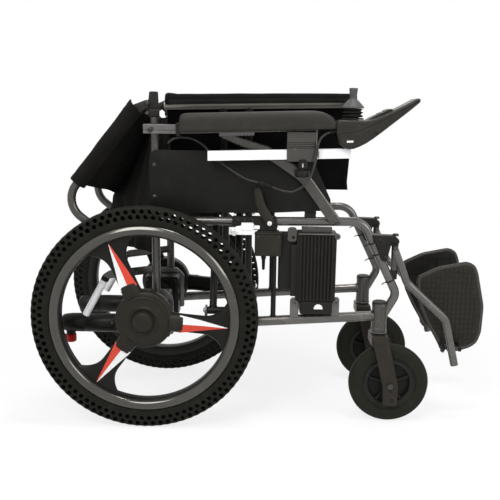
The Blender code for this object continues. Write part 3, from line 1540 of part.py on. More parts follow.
def smooth_route(route, count):
    """Even points on a smooth curve through the route."""
    points = [Vector(point) for point in route]
    dense = []
    padded = [points[0] * 2 - points[1], *points, points[-1] * 2 - points[-2]]
    for a, b, c, d in zip(padded, padded[1:], padded[2:], padded[3:]):
        for step in range(8):
            t = step / 8
            dense.append(
                0.5 * (2 * b + (c - a) * t + (2 * a - 5 * b + 4 * c - d) * t * t + (3 * b - a - 3 * c + d) * t**3)
            )
    dense.append(points[-1])
    lengths = [0.0]
    for first, second in zip(dense, dense[1:]):
        lengths.append(lengths[-1] + (second - first).length)
    made = []
    index = 0
    for number in range(count):
        wanted = lengths[-1] * number / (count - 1)
        while index < len(lengths) - 2 and lengths[index + 1] < wanted:
            index += 1
        share = (wanted - lengths[index]) / (lengths[index + 1] - lengths[index])
        made.append(dense[index].lerp(dense[index + 1], share))
    return made


for side, s in SIDES:
    side_frame(side, s)
    seat_sling(side, s)
    lower_back(side, s)
    upper_back(side, s)
    back_cane(side, s)
    cane_hinge(side, s)
    side_panel(side, s)
    armrest(side, s)
    drive_wheel(side, s)
    gear_motor(side, s)
    caster(side, s)
    footrest(side, s)
    brake(side, s)
cross_brace("cross_brace_a", RIGHT, BRACE_A_X)
cross_brace("cross_brace_b", LEFT, BRACE_B_X)
cross_bolt()
battery()
control_box()
joystick()
cable()
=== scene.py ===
"""Folding power wheelchair, folded flat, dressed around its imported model.

Lengths are in metres, and in millimetres in the lists that mm() reads. Shapes are drawn from the
drive axle, as the model's source is: x = 0 on the axle, z = 0 on the ground and y = 0 between the
side frames. Each piece is then moved back by AXLE_X, to the frame's own origin.
"""

from math import atan2, cos, pi, radians, sin, sqrt

import bmesh
import bpy
from mathutils import Matrix, Vector, noise


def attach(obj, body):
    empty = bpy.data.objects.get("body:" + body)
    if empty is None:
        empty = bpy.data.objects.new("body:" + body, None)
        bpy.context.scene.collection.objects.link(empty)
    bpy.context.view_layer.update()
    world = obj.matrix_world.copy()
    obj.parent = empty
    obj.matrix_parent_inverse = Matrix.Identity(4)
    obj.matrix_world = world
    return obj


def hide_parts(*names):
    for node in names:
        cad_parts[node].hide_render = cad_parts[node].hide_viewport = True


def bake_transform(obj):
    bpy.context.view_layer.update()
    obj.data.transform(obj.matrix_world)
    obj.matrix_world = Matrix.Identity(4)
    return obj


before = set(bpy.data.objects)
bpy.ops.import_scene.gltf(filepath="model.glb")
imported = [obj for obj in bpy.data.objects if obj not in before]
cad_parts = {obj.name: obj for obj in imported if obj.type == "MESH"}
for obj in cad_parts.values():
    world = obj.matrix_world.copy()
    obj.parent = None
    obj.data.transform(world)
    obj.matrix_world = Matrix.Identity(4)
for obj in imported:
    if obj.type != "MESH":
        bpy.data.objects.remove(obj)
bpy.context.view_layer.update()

AXLE_X = 0.2925
SIDES = (("right", -1), ("left", 1))

# Frame
FRAME_Y = 0.1424
POST_X = 0.0215
POST_R = 0.0105
TUBE_R = 0.011
WELD_BEAD = 0.0015
UPPER_RAIL_Z = 0.515
FRONT_BEND = (0.536, 0.52)
KNEE_BEND = (0.6265, 0.337)
HOUSING_X = 0.5865
LOWER_RAIL_REAR_Z = 0.2425
LOWER_RAIL_FRONT_Z = 0.28
LOWER_RAIL_R = 0.0125
UPRIGHT_X = 0.317
UPRIGHT_R = 0.0065
PIVOT_Y = 0.1304
BRACE_FOOT_Z = 0.283
SEAT_RAIL_Z = 0.796
BRACE_MID_Z = (BRACE_FOOT_Z + SEAT_RAIL_Z) / 2
BRACE_A_X = (0.1636, 0.2265)
BRACE_B_X = (0.1871, 0.25)
SADDLE_Z = 0.5589

# Wheels and footrests
WHEEL_R = 0.28
WHEEL_Y = 0.201
TYRE_BEAD_R = 0.235
TREAD_EDGE_R = 0.2745
BLADE_ANGLES = (-5.3, 113.8, 233.4)
CASTER_X = 0.6176
CASTER_R = 0.1022
HANGER_X = 0.6175
FOOT_HINGE_Y = 0.1244

# Seat, back and arms
SEAT_ROLL_R = 0.0152
SEAT_ROLL_Z = 0.8045
FOLD_Y = 0.0013
CANE_X = 0.00485
CANE_Z = 0.8
CANE_FOLD = radians(141.6)
CANE_R = 0.0105
CANE_OFFSET = POST_X - CANE_X
CANE_CORNER = 0.3229
CANE_BEND_R = 0.056
HANDLE_LENGTH = 0.15
GRIP_LENGTH = 0.076
ARM_Y = 0.172
ARM_Z = 0.7406
PAD_Y = 0.189
BAR_Y = 0.183
BOOT_X = 0.4935
BOOT_Z = 0.77


def new_group(name, inputs, outputs):
    """A group of nodes with its sockets."""
    group = bpy.data.node_groups.new(name, "ShaderNodeTree")
    for label, kind, value in inputs:
        group.interface.new_socket(name=label, in_out="INPUT", socket_type=kind).default_value = value
    for label, kind in outputs:
        group.interface.new_socket(name=label, in_out="OUTPUT", socket_type=kind)
    source = group.nodes.new("NodeGroupInput")
    result = group.nodes.new("NodeGroupOutput")
    return group, source, result


def node(tree, kind, links=(), **settings):
    """A node with its settings made and its inputs linked or filled."""
    made = tree.nodes.new(kind)
    for key, value in settings.items():
        setattr(made, key, value)
    for label, value in links:
        if isinstance(value, bpy.types.NodeSocket):
            tree.links.new(value, made.inputs[label])
        else:
            made.inputs[label].default_value = value
    return made


def maths(tree, operation, *values):
    """The result of a sum of numbers or sockets."""
    return node(tree, "ShaderNodeMath", list(enumerate(values)), operation=operation).outputs[0]


def tone_group():
    """Slow change of tone over a surface, with a lighter dusting where hands and floors have been."""
    group, source, result = new_group("handled tone", [("Colour", "NodeSocketColor", (0.1, 0.1, 0.1, 1)),
        ("Dust colour", "NodeSocketColor", (0.3, 0.3, 0.3, 1)), ("Scale", "NodeSocketFloat", 12.0),
        ("Amount", "NodeSocketFloat", 0.15), ("Dust", "NodeSocketFloat", 0.1)],
        [("Colour", "NodeSocketColor"), ("Mask", "NodeSocketFloat")])
    place = node(group, "ShaderNodeTexCoord").outputs["Object"]
    broad = node(group, "ShaderNodeTexNoise", [("Vector", place), ("Scale", source.outputs["Scale"]),
        ("Detail", 4.0)])
    centred = maths(group, "SUBTRACT", broad.outputs["Fac"], 0.5)
    share = maths(group, "MULTIPLY", centred, source.outputs["Amount"])
    level = maths(group, "MULTIPLY_ADD", share, 2.0, 1.0)
    toned = node(group, "ShaderNodeVectorMath", [(0, source.outputs["Colour"]), ("Scale", level)],
        operation="SCALE")
    finer = maths(group, "MULTIPLY", source.outputs["Scale"], 3.1)
    specks = node(group, "ShaderNodeTexNoise", [("Vector", place), ("Scale", finer), ("Detail", 6.0)])
    band = node(group, "ShaderNodeMapRange", [("Value", specks.outputs["Fac"]), ("From Min", 0.52),
        ("From Max", 0.78)])
    dust = maths(group, "MULTIPLY", band.outputs["Result"], source.outputs["Dust"])
    blend = [(0, dust), (6, toned.outputs[0]), (7, source.outputs["Dust colour"])]
    mixed = node(group, "ShaderNodeMix", blend, data_type="RGBA")
    group.links.new(mixed.outputs[2], result.inputs["Colour"])
    group.links.new(band.outputs["Result"], result.inputs["Mask"])
    return group


def grain_group():
    """Fine moulded or cast grain, as a height."""
    group, source, result = new_group("moulded grain", [("Scale", "NodeSocketFloat", 900.0),
        ("Pits", "NodeSocketFloat", 0.4)], [("Height", "NodeSocketFloat")])
    place = node(group, "ShaderNodeTexCoord").outputs["Object"]
    fine = node(group, "ShaderNodeTexNoise", [("Vector", place), ("Scale", source.outputs["Scale"]),
        ("Detail", 2.0)])
    cells = node(group, "ShaderNodeTexVoronoi", [("Vector", place), ("Scale", source.outputs["Scale"])])
    pits = maths(group, "MULTIPLY", cells.outputs["Distance"], source.outputs["Pits"])
    group.links.new(maths(group, "ADD", fine.outputs["Fac"], pits), result.inputs["Height"])
    return group


def weave_group():
    """Plain woven nylon: two crossing sets of threads, as a height and a light and dark pattern."""
    group, source, result = new_group("plain weave", [("Threads", "NodeSocketFloat", 700.0),
        ("Unevenness", "NodeSocketFloat", 2.0)],
        [("Height", "NodeSocketFloat"), ("Pattern", "NodeSocketFloat")])
    place = node(group, "ShaderNodeTexCoord").outputs["Object"]
    heights = []
    for way in ("DIAGONAL", "Z"):
        threads = node(group, "ShaderNodeTexWave", [("Vector", place), ("Scale", source.outputs["Threads"]),
            ("Distortion", source.outputs["Unevenness"]), ("Detail", 1.0)], bands_direction=way)
        heights.append(threads.outputs["Fac"])
    for operation, label in (("MAXIMUM", "Height"), ("MULTIPLY", "Pattern")):
        group.links.new(maths(group, operation, *heights), result.inputs[label])
    return group


HANDLED_TONE = tone_group()
MOULDED_GRAIN = grain_group()
PLAIN_WEAVE = weave_group()


def finish_of(name, colour, roughness, metallic=0.0, coat=0.0, dust=0.25, dust_colour=None, amount=0.18,
        tone_scale=14.0, grain=0.0, grain_scale=900.0, rough_swing=0.1, specular=0.16, sheen=0.0, weave=0.0,
        threads=700.0):
    """A finish with its own tone, dust, gloss and surface relief."""
    made = bpy.data.materials.new(name)
    made.use_nodes = True
    tree = made.node_tree
    shader = tree.nodes["Principled BSDF"]
    dusted = (*(dust_colour or [2.0 * part + 0.008 for part in colour]), 1)
    settings = [("Colour", (*colour, 1)), ("Dust colour", dusted), ("Scale", tone_scale),
        ("Amount", amount), ("Dust", dust)]
    tone = node(tree, "ShaderNodeGroup", settings, node_tree=HANDLED_TONE)
    for label, value in (("Metallic", metallic), ("Specular IOR Level", specular), ("Coat Weight", coat),
            ("Coat Roughness", 0.12), ("Sheen Weight", sheen)):
        shader.inputs[label].default_value = value
    gloss = node(tree, "ShaderNodeMapRange", [("Value", tone.outputs["Mask"]), ("To Min", roughness),
        ("To Max", min(1.0, roughness + rough_swing))])
    tree.links.new(gloss.outputs["Result"], shader.inputs["Roughness"])
    heights = []
    if grain:
        relief = node(tree, "ShaderNodeGroup", [("Scale", grain_scale)], node_tree=MOULDED_GRAIN)
        heights.append((relief.outputs["Height"], grain, 0.0004))
    colour_out = tone.outputs["Colour"]
    if weave:
        cloth = node(tree, "ShaderNodeGroup", [("Threads", threads)], node_tree=PLAIN_WEAVE)
        heights.append((cloth.outputs["Height"], weave, 0.0006))
        shaded = node(tree, "ShaderNodeMapRange", [("Value", cloth.outputs["Pattern"]), ("To Min", 0.75),
            ("To Max", 1.35)])
        tinted = node(tree, "ShaderNodeVectorMath", [(0, colour_out), ("Scale", shaded.outputs["Result"])],
            operation="SCALE")
        colour_out = tinted.outputs[0]
    tree.links.new(colour_out, shader.inputs["Base Color"])
    normal = None
    for height, strength, distance in heights:
        bump = node(tree, "ShaderNodeBump", [("Height", height), ("Strength", strength),
            ("Distance", distance)])
        if normal:
            tree.links.new(normal, bump.inputs["Normal"])
        normal = bump.outputs["Normal"]
    if normal:
        tree.links.new(normal, shader.inputs["Normal"])
    return made


def metal_of(name, colour, roughness, metallic=0.9, **more):
    """A painted or bare metal finish."""
    return finish_of(name, colour, roughness, metallic=metallic, specular=0.3, **more)


FRAME_GREY = metal_of("frame grey powder coat", (0.08, 0.076, 0.07), 0.24, 0.65, dust=0.2, grain=0.2,
    grain_scale=1400)
# The frame's grey powder coat again, lightened for the rails and hanger tubes: a painted highlight standing
# for the gloss along them.
RAIL_GREY_PAINTED_HIGHLIGHT = metal_of("frame rail grey with painted highlight", (0.124, 0.119, 0.112), 0.24, 0.65, dust=0.2, grain=0.2,
    grain_scale=1400)
BRACE_BLACK = finish_of("brace black paint", (0.014, 0.0132, 0.0112), 0.4, grain=0.2, grain_scale=1200)
# The seat tube's satin metal, its colour lifted far above the frame grey and warmed: painted highlight for
# the bright line along the tube.
SEAT_TUBE_PAINTED_HIGHLIGHT = metal_of("seat tube satin with painted highlight", (0.21, 0.2, 0.172), 0.38, 0.6, dust=0.2, grain=0.1,
    grain_scale=1400)
BRACKET_GREY = metal_of("bracket grey anodised", (0.135, 0.13, 0.128), 0.28, 0.7, grain=0.15,
    grain_scale=1500)
HINGE_METAL = metal_of("hinge plate grey", (0.032, 0.03, 0.028), 0.32, 0.7, grain=0.15, grain_scale=1500)
MOULDED_BLACK = finish_of("moulded black", (0.012, 0.0115, 0.0095), 0.46, grain=0.35, grain_scale=1100)
PANEL_BLACK = finish_of("panel black", (0.0075, 0.0072, 0.006), 0.42, specular=0.14, grain=0.3,
    grain_scale=1200)
CAST_BLACK = finish_of("cast black", (0.009, 0.0088, 0.0072), 0.38, specular=0.2, grain=0.3,
    grain_scale=700)
SPOKE_BLACK = finish_of("spoke black", (0.0075, 0.007, 0.0055), 0.4, grain=0.25, grain_scale=900)
MOTOR_BLACK = finish_of("motor black", (0.0085, 0.008, 0.0064), 0.38, specular=0.14, grain=0.25,
    grain_scale=900)
FORK_BLACK = finish_of("fork black", (0.02, 0.0165, 0.012), 0.38, specular=0.2, grain=0.25, grain_scale=900)
HUB_BLACK = finish_of("hub black", (0.015, 0.0138, 0.0095), 0.4, grain=0.2, grain_scale=1000)
BOX_BLACK = finish_of("module black", (0.02, 0.0182, 0.0135), 0.46, grain=0.3, grain_scale=1100)
TYRE_RUBBER = finish_of("tyre rubber", (0.0095, 0.0094, 0.0072), 0.74, specular=0.12, dust=0.4, amount=0.25,
    grain=0.5, grain_scale=600)
CASTER_RUBBER = finish_of("caster rubber", (0.0135, 0.013, 0.0092), 0.66, specular=0.12, dust=0.35,
    grain=0.4, grain_scale=700)
SOFT_RUBBER = finish_of("soft rubber", (0.008, 0.008, 0.0072), 0.6, specular=0.14, grain=0.3,
    grain_scale=900)
GRIP_RUBBER = finish_of("grip rubber", (0.006, 0.0058, 0.0052), 0.62, specular=0.12, grain=0.3,
    grain_scale=900)
RIM_GREY = metal_of("rim ring grey", (0.078, 0.076, 0.068), 0.17, 0.85, coat=0.15, dust=0.1, amount=0.1,
    rough_swing=0.05)
STAR_WHITE = finish_of("star white", (0.8, 0.8, 0.79), 0.3, dust=0.05, amount=0.02)
STAR_RED = finish_of("star red", (0.6, 0.062, 0.036), 0.32, dust=0.05, dust_colour=(0.66, 0.1, 0.07),
    amount=0.05)
CLUTCH_RED = finish_of("clutch red", (0.42, 0.012, 0.01), 0.34, dust=0.2, dust_colour=(0.5, 0.05, 0.04),
    amount=0.12)
NYLON = finish_of("black nylon", (0.0046, 0.0045, 0.0044), 0.84, specular=0.05, dust=0.3, amount=0.35,
    tone_scale=9, sheen=0.02, weave=0.6, threads=520)
# Black nylon like the seat's, but lighter in colour to brighten the shade the back cloth hangs in: painted
# light.
BACK_NYLON_PAINTED_LIGHT = finish_of("back nylon with painted light", (0.0082, 0.0077, 0.0066), 0.78, specular=0.07, dust=0.45,
    dust_colour=(0.02, 0.0165, 0.0125), amount=0.45, tone_scale=11, sheen=0.02, weave=0.7, threads=430)
HEM_TAPE = finish_of("hem tape black", (0.006, 0.0058, 0.0054), 0.6, specular=0.1, sheen=0.02, weave=0.5,
    threads=900)
ARM_FOAM = finish_of("arm pad foam", (0.027, 0.0258, 0.0215), 0.5, specular=0.13, amount=0.12, grain=0.5,
    grain_scale=500)
LEVER_OLIVE = finish_of("lever olive grey", (0.021, 0.0185, 0.0135), 0.48, grain=0.3, grain_scale=800)
BRIGHT_BAR = finish_of("bright bar", (0.93, 0.93, 0.93), 0.28, dust=0.0, amount=0.01)
PLATED = metal_of("plated steel", (0.62, 0.62, 0.6), 0.26, 1.0, amount=0.1, grain=0.15, grain_scale=1200)
ZINC_WHITE = metal_of("white zinc", (0.72, 0.72, 0.7), 0.33, 0.45, dust=0.1, amount=0.1)
DARK_STEEL = metal_of("dark steel", (0.06, 0.058, 0.055), 0.32, amount=0.2)
BATTERY_ALLOY = finish_of("battery alloy", (0.0125, 0.0115, 0.0088), 0.4, 0.2, specular=0.2, grain=0.2,
    grain_scale=900)
BATTERY_EDGE = metal_of("battery edge", (0.12, 0.12, 0.115), 0.35, 0.7)
TREAD_PLATE = finish_of("footplate black", (0.0205, 0.0182, 0.014), 0.48, dust=0.3,
    dust_colour=(0.03, 0.026, 0.02), grain=0.35)
PLATE_RIM = finish_of("footplate rim", (0.052, 0.048, 0.043), 0.36, grain=0.2, grain_scale=900)
STICK_BLACK = finish_of("joystick case black", (0.024, 0.0222, 0.018), 0.38, grain=0.25, grain_scale=1300)
STICK_GREY = finish_of("joystick knob grey", (0.078, 0.078, 0.074), 0.46, grain=0.3, grain_scale=1300)
CABLE_BLACK = finish_of("cable sheath", (0.036, 0.035, 0.032), 0.36)
KEY_GREY = finish_of("key grey", (0.14, 0.14, 0.135), 0.45)


def plain_box(low, high, bevel=0.0015, segments=2):
    """A rounded block between two corners."""
    shell = bmesh.new()
    bmesh.ops.create_cube(shell, size=1.0)
    for vert in shell.verts:
        for axis in range(3):
            ends = sorted((low[axis], high[axis]))
            vert.co[axis] = ends[0] if vert.co[axis] < 0 else ends[1]
    if bevel:
        bmesh.ops.bevel(shell, geom=shell.edges[:], offset=bevel, segments=segments, profile=0.6,
            affect="EDGES")
    return shell


def bar(start, end, radius, sides=24, edge=0.0):
    """A round bar, with its two rims eased by edge."""
    start, end = Vector(start), Vector(end)
    along = (end - start).normalized()
    long = (end - start).length
    profile = [(0, 0), (radius, 0), (radius, long), (0, long)]
    if edge:
        profile[1:3] = [(radius - edge, 0), (radius, edge), (radius, long - edge), (radius - edge, long)]
    return turned(profile, start, along, sides)


def slab(outline, axis, low, high, bevel=0.0012, segments=2):
    """A flat outline pushed from low to high along an axis, with its rims eased."""
    index = "XYZ".index(axis)
    low, high = sorted((low, high))
    shell = bmesh.new()
    corners = []
    for first, second in outline:
        point = [first, second]
        point.insert(index, low)
        corners.append(shell.verts.new(point))
    face = shell.faces.new(corners)
    pushed = bmesh.ops.extrude_face_region(shell, geom=[face])
    shift = Vector((0, 0, 0))
    shift[index] = high - low
    bmesh.ops.translate(shell, verts=[v for v in pushed["geom"] if isinstance(v, bmesh.types.BMVert)],
        vec=shift)
    if bevel:
        rims = [e for e in shell.edges if abs(e.verts[0].co[index] - e.verts[1].co[index]) < 1e-9]
        bmesh.ops.bevel(shell, geom=rims, offset=bevel, segments=segments, profile=0.6, affect="EDGES")
    return shell


def turned(profile, centre, axis, steps=48):
    """A profile of (radius, distance along axis) turned about that axis."""
    axis, across, other = square_to(axis)
    centre = Vector(centre)
    rings = []
    shell = bmesh.new()
    for step in range(steps):
        angle = 2 * pi * step / steps
        out = across * cos(angle) + other * sin(angle)
        rings.append([(centre + out * r + axis * d) for r, d in profile])
    verts = [[shell.verts.new(p) for p in ring] for ring in rings]
    last = len(profile) if profile[0][0] > 0 else len(profile) - 1
    for i in range(steps):
        j = (i + 1) % steps
        for k in range(last):
            m = (k + 1) % len(profile)
            shell.faces.new((verts[i][k], verts[i][m], verts[j][m], verts[j][k]))
    bmesh.ops.remove_doubles(shell, verts=shell.verts, dist=1e-6)
    bmesh.ops.dissolve_degenerate(shell, edges=shell.edges, dist=1e-7)
    return shell


def eased(points, radii, steps=8):
    """The points with each inner corner replaced by an arc of its own radius."""
    points = [Vector(p) for p in points]
    path = [points[0]]
    for before, corner, after, radius in zip(points, points[1:], points[2:], radii):
        back = (before - corner).normalized()
        ahead = (after - corner).normalized()
        half = back.angle(ahead) / 2
        centre = corner + (back + ahead).normalized() * radius / sin(half)
        first = corner + back * radius / (sin(half) / cos(half)) - centre
        last = corner + ahead * radius / (sin(half) / cos(half)) - centre
        sweep = first.angle(last)
        for step in range(steps + 1):
            share = step / steps
            path.append(centre + (first * sin((1 - share) * sweep) + last * sin(share * sweep)) /
                sin(sweep))
    path.append(points[-1])
    return path


def corners_of(points):
    """Each corner of a closed outline, with the ones before and after it."""
    corners = [Vector((*point, 0)) for point in points]
    return zip(corners[-1:] + corners[:-1], corners, corners[1:] + corners[:1])


def ways_along(points):
    """The direction of a path at each of its points."""
    last = len(points) - 1
    return [(points[min(k + 1, last)] - points[max(k - 1, 0)]).normalized() for k in range(last + 1)]


def square_to(axis):
    """An axis of length one, and two more square to it."""
    axis = Vector(axis).normalized()
    across = axis.orthogonal().normalized()
    return axis, across, axis.cross(across)


def eased_outline(points, radius, steps=4):
    """A closed outline with every corner rounded."""
    made = []
    for before, corner, after in corners_of(points):
        reach = min(radius, (before - corner).length * 0.45, (after - corner).length * 0.45)
        first = corner + (before - corner).normalized() * reach
        last = corner + (after - corner).normalized() * reach
        for step in range(steps + 1):
            t = step / steps
            place = first.lerp(corner, t).lerp(corner.lerp(last, t), t)
            made.append((place.x, place.y))
    return made


def sweep(points, radius, sides, squeeze=1.0):
    """A bar swept along points that lie in a plane of one y. squeeze thins its section across that plane."""
    points = [Vector(p) for p in points]
    side = Vector((0, 1, 0))
    rings = []
    for place, way in zip(points, ways_along(points)):
        side = (side - way * side.dot(way)).normalized()
        up = way.cross(side)
        ring = []
        for step in range(sides):
            angle = 2 * pi * (step + 0.5) / sides
            ring.append(place + side * (cos(angle) * radius * squeeze) + up * (sin(angle) * radius))
        rings.append(ring)
    return lofted(rings)


def lofted(rings, caps=True):
    """A skin through rings of equal point counts."""
    shell = bmesh.new()
    loops = [[shell.verts.new(p) for p in ring] for ring in rings]
    for loop, following in zip(loops, loops[1:]):
        for index in range(len(loop)):
            after = (index + 1) % len(loop)
            shell.faces.new((loop[index], loop[after], following[after], following[index]))
    if caps:
        shell.faces.new(loops[0][::-1])
        shell.faces.new(loops[-1])
    return shell


def cloth(rows, thickness):
    """Cloth of an even thickness through a grid of points, closed at its edges."""
    grid = [[Vector(p) for p in row] for row in rows]
    high, wide = len(grid), len(grid[0])
    normals = []
    for i in range(high):
        line = []
        for j in range(wide):
            down = grid[min(i + 1, high - 1)][j] - grid[max(i - 1, 0)][j]
            across = grid[i][min(j + 1, wide - 1)] - grid[i][max(j - 1, 0)]
            line.append(down.cross(across).normalized())
        normals.append(line)
    shell = bmesh.new()
    faces = []
    for way in (0.5, -0.5):
        faces.append([[shell.verts.new(grid[i][j] + normals[i][j] * thickness * way) for j in range(wide)]
            for i in range(high)])
    top, under = faces
    for i in range(high - 1):
        for j in range(wide - 1):
            shell.faces.new((top[i][j], top[i][j + 1], top[i + 1][j + 1], top[i + 1][j]))
            shell.faces.new((under[i][j], under[i + 1][j], under[i + 1][j + 1], under[i][j + 1]))
    for i in range(high - 1):
        for j in (0, wide - 1):
            shell.faces.new((top[i][j], top[i + 1][j], under[i + 1][j], under[i][j]))
    for j in range(wide - 1):
        for i in (0, high - 1):
            shell.faces.new((top[i][j], top[i][j + 1], under[i][j + 1], under[i][j]))
    return shell


class Piece:
    """One visible piece, built up from closed shells that each have a finish."""

    def __init__(self, name):
        self.name = name
        self.body_mesh = bmesh.new()
        self.finishes = []

    def add(self, shell, finish):
        if finish not in self.finishes:
            self.finishes.append(finish)
        slot = self.finishes.index(finish)
        bmesh.ops.recalc_face_normals(shell, faces=shell.faces)
        for face in shell.faces:
            face.material_index = slot
        mesh = bpy.data.meshes.new("shell")
        shell.to_mesh(mesh)
        shell.free()
        self.body_mesh.from_mesh(mesh)
        bpy.data.meshes.remove(mesh)
        return self

    def made(self, slot=None, body=None, replaces=(), angle=38):
        """Ends the piece: moves it to the frame's origin, names its body and the nodes it stands for."""
        mesh = bpy.data.meshes.new(self.name)
        bmesh.ops.translate(self.body_mesh, verts=self.body_mesh.verts, vec=(-AXLE_X, 0, 0))
        self.body_mesh.to_mesh(mesh)
        self.body_mesh.free()
        for finish in self.finishes:
            mesh.materials.append(finish)
        mesh.shade_smooth()
        mesh.set_sharp_from_angle(angle=radians(angle))
        piece = linked(self.name, mesh)
        if body:
            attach(piece, body)
        if replaces:
            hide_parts(*replaces)
        return piece

    def on_frame(self, side, slot="frame_grey", part="side_frame"):
        """Ends a piece that is fixed to a side frame."""
        return self.made(slot, f"{side}_frame", [f"{part}_{side}"])


def linked(name, data):
    """An object in the scene."""
    made = bpy.data.objects.new(name, data)
    bpy.context.scene.collection.objects.link(made)
    return made


def mm(width, *lengths):
    """Rows of lengths in metres, listed here in millimetres with width of them to a row."""
    metres = [length / 1000 for length in lengths]
    return [tuple(metres[index:index + width]) for index in range(0, len(metres), width)]


def mix(low, high, share):
    """The value that lies between two by a share."""
    return low + (high - low) * share


def arc(centre, radius, steps, start=0.0, end=2 * pi):
    """Points round an arc, or round a whole circle without its first point again."""
    whole = abs(end - start - 2 * pi) < 1e-9
    angles = [start + (end - start) * step / steps for step in range(steps if whole else steps + 1)]
    return [(centre[0] + radius * cos(angle), centre[1] + radius * sin(angle)) for angle in angles]


def screw(centre, way, radius, rise=0.0022):
    """A button-head socket screw that stands on a face."""
    return turned([(0, rise * 0.35), (radius * 0.42, rise * 0.35), (radius * 0.46, rise),
        (radius * 0.72, rise * 0.95), (radius * 0.95, rise * 0.5), (radius, 0), (0, 0)], centre, way, 16)


def lower_rail_z(x):
    """The height of the lower rail's middle at a place along it."""
    return mix(LOWER_RAIL_REAR_Z, LOWER_RAIL_FRONT_Z, (x - POST_X) / (HOUSING_X - POST_X))


def front_tube_x(z):
    """How far forward the front tube's middle is at a height."""
    return mix(FRONT_BEND[0], KNEE_BEND[0], (FRONT_BEND[1] - z) / (FRONT_BEND[1] - KNEE_BEND[1]))


def folded_cane(along, out, y):
    """A place on the folded back, from its distance up the cane and its distance in front of it."""
    up = Vector((-sin(CANE_FOLD), 0, cos(CANE_FOLD)))
    front = Vector((cos(CANE_FOLD), 0, sin(CANE_FOLD)))
    return Vector((CANE_X, y, CANE_Z)) + up * along + front * (CANE_OFFSET + out)


def place_camera():
    """The photograph's view: a normal lens at chest height, level with the front of the seat."""
    yaw, pitch, roll = -0.0115, 0.1967, 0.0127
    ahead = Vector((sin(yaw) * cos(pitch), cos(yaw) * cos(pitch), -sin(pitch)))
    level = Vector((cos(yaw), -sin(yaw), 0))
    over = level.cross(ahead)
    right = level * cos(roll) + over * sin(roll)
    top = over * cos(roll) - level * sin(roll)
    data = bpy.data.cameras.new("photograph view")
    data.lens = 50
    data.sensor_width = 36
    camera = linked("photograph view", data)
    turn = Matrix((right, top, -ahead)).transposed().to_4x4()
    camera.matrix_world = Matrix.Translation((0.2761 - AXLE_X, -1.84429, 0.78344)) @ turn
    bpy.context.scene.camera = camera


place_camera()


def white_rays(tree):
    """One for the rays that see the white studio: the camera's, and those in gloss and glass."""
    rays = node(tree, "ShaderNodeLightPath")
    seen = maths(tree, "MAXIMUM", rays.outputs["Is Camera Ray"], rays.outputs["Is Glossy Ray"])
    return maths(tree, "MAXIMUM", seen, rays.outputs["Is Transmission Ray"])


def build_stage():
    """Pale floor, white surround and soft lamps."""
    world = bpy.data.worlds.new("studio")
    world.use_nodes = True
    bpy.context.scene.world = world
    tree = world.node_tree
    tree.nodes.clear()
    light = node(tree, "ShaderNodeBackground", [("Color", (0.94, 0.95, 1.0, 1)), ("Strength", 0.34)])
    seen = node(tree, "ShaderNodeBackground", [("Color", (1, 1, 1, 1)), ("Strength", 1.0)])
    shown = white_rays(tree)
    mixed = node(tree, "ShaderNodeMixShader", [(0, shown), (1, light.outputs[0]), (2, seen.outputs[0])])
    node(tree, "ShaderNodeOutputWorld", [("Surface", mixed.outputs[0])])

    shell = bmesh.new()
    bmesh.ops.create_grid(shell, x_segments=2, y_segments=2, size=14.0)
    mesh = bpy.data.meshes.new("studio_floor")
    shell.to_mesh(mesh)
    shell.free()
    floor = linked("studio_floor", mesh)
    floor.location.z = -0.0005
    paint = bpy.data.materials.new("pale floor")
    paint.use_nodes = True
    tree = paint.node_tree
    shader = tree.nodes["Principled BSDF"]
    shader.inputs["Base Color"].default_value = (0.93, 0.93, 0.93, 1)
    shader.inputs["Roughness"].default_value = 0.9
    shader.inputs["Specular IOR Level"].default_value = 0.1
    glow = node(tree, "ShaderNodeEmission", [("Color", (1, 1, 1, 1)), ("Strength", 1.0)])
    place = node(tree, "ShaderNodeNewGeometry").outputs["Position"]
    far = node(tree, "ShaderNodeVectorMath", [(0, place)], operation="LENGTH")
    fade = node(tree, "ShaderNodeMapRange", [("Value", far.outputs["Value"]), ("From Min", 0.55),
        ("From Max", 1.3), ("To Min", 0.8)], interpolation_type="SMOOTHSTEP")
    share = maths(tree, "MULTIPLY", fade.outputs["Result"], white_rays(tree))
    mixed = node(tree, "ShaderNodeMixShader", [(0, share), (1, shader.outputs[0]), (2, glow.outputs[0])])
    tree.links.new(mixed.outputs[0], tree.nodes["Material Output"].inputs["Surface"])
    mesh.materials.append(paint)

    for name, spot, aim, size, power in (
        ("key lamp", (-0.9, -2.0, 2.6), (0.0, 0.0, 0.4), 1.3, 54),
        ("fill lamp", (1.9, -1.6, 1.5), (0.1, 0.0, 0.4), 1.0, 20),
        ("back lamp", (0.2, 2.2, 2.4), (0.0, 0.0, 0.5), 1.4, 14),
        ("ceiling lamp", (0.3, -0.4, 3.0), (0.0, 0.0, 0.3), 0.6, 34),
    ):
        lamp = bpy.data.lights.new(name, "AREA")
        lamp.shape = "SQUARE"
        lamp.size = size
        lamp.energy = power
        held = linked(name, lamp)
        held.location = spot
        held.rotation_euler = (Vector(aim) - Vector(spot)).to_track_quat("-Z", "Y").to_euler()
    bpy.context.scene.view_settings.view_transform = "Standard"


CABLE_ROUTE = mm(3, 454, -201, 743, 449.2, -203.5, 741.8, 435.2, -206, 737.1, 424, -208.5, 730, 416.9,
    -209.5, 721, 411.8, -210, 704.7, 408.5, -209.5, 674.5, 398.6, -209, 639.1, 382.9, -206, 614.5, 366.9,
    -201, 602.7, 350.5, -198, 597.4, 326.8, -194, 601.4, 307.7, -191, 608, 274.1, -186, 617.7, 247.6, -181,
    624.1, 223.4, -176, 636.4, 201.5, -171, 650.2, 179.7, -167, 666.4, 157.9, -165.5, 685.1, 143.5, -165.5,
    701.5, 126.8, -167, 713, 110.1, -169, 719.5, 91, -170, 721.5, 71.7, -169, 718, 56.9, -167, 707.4)


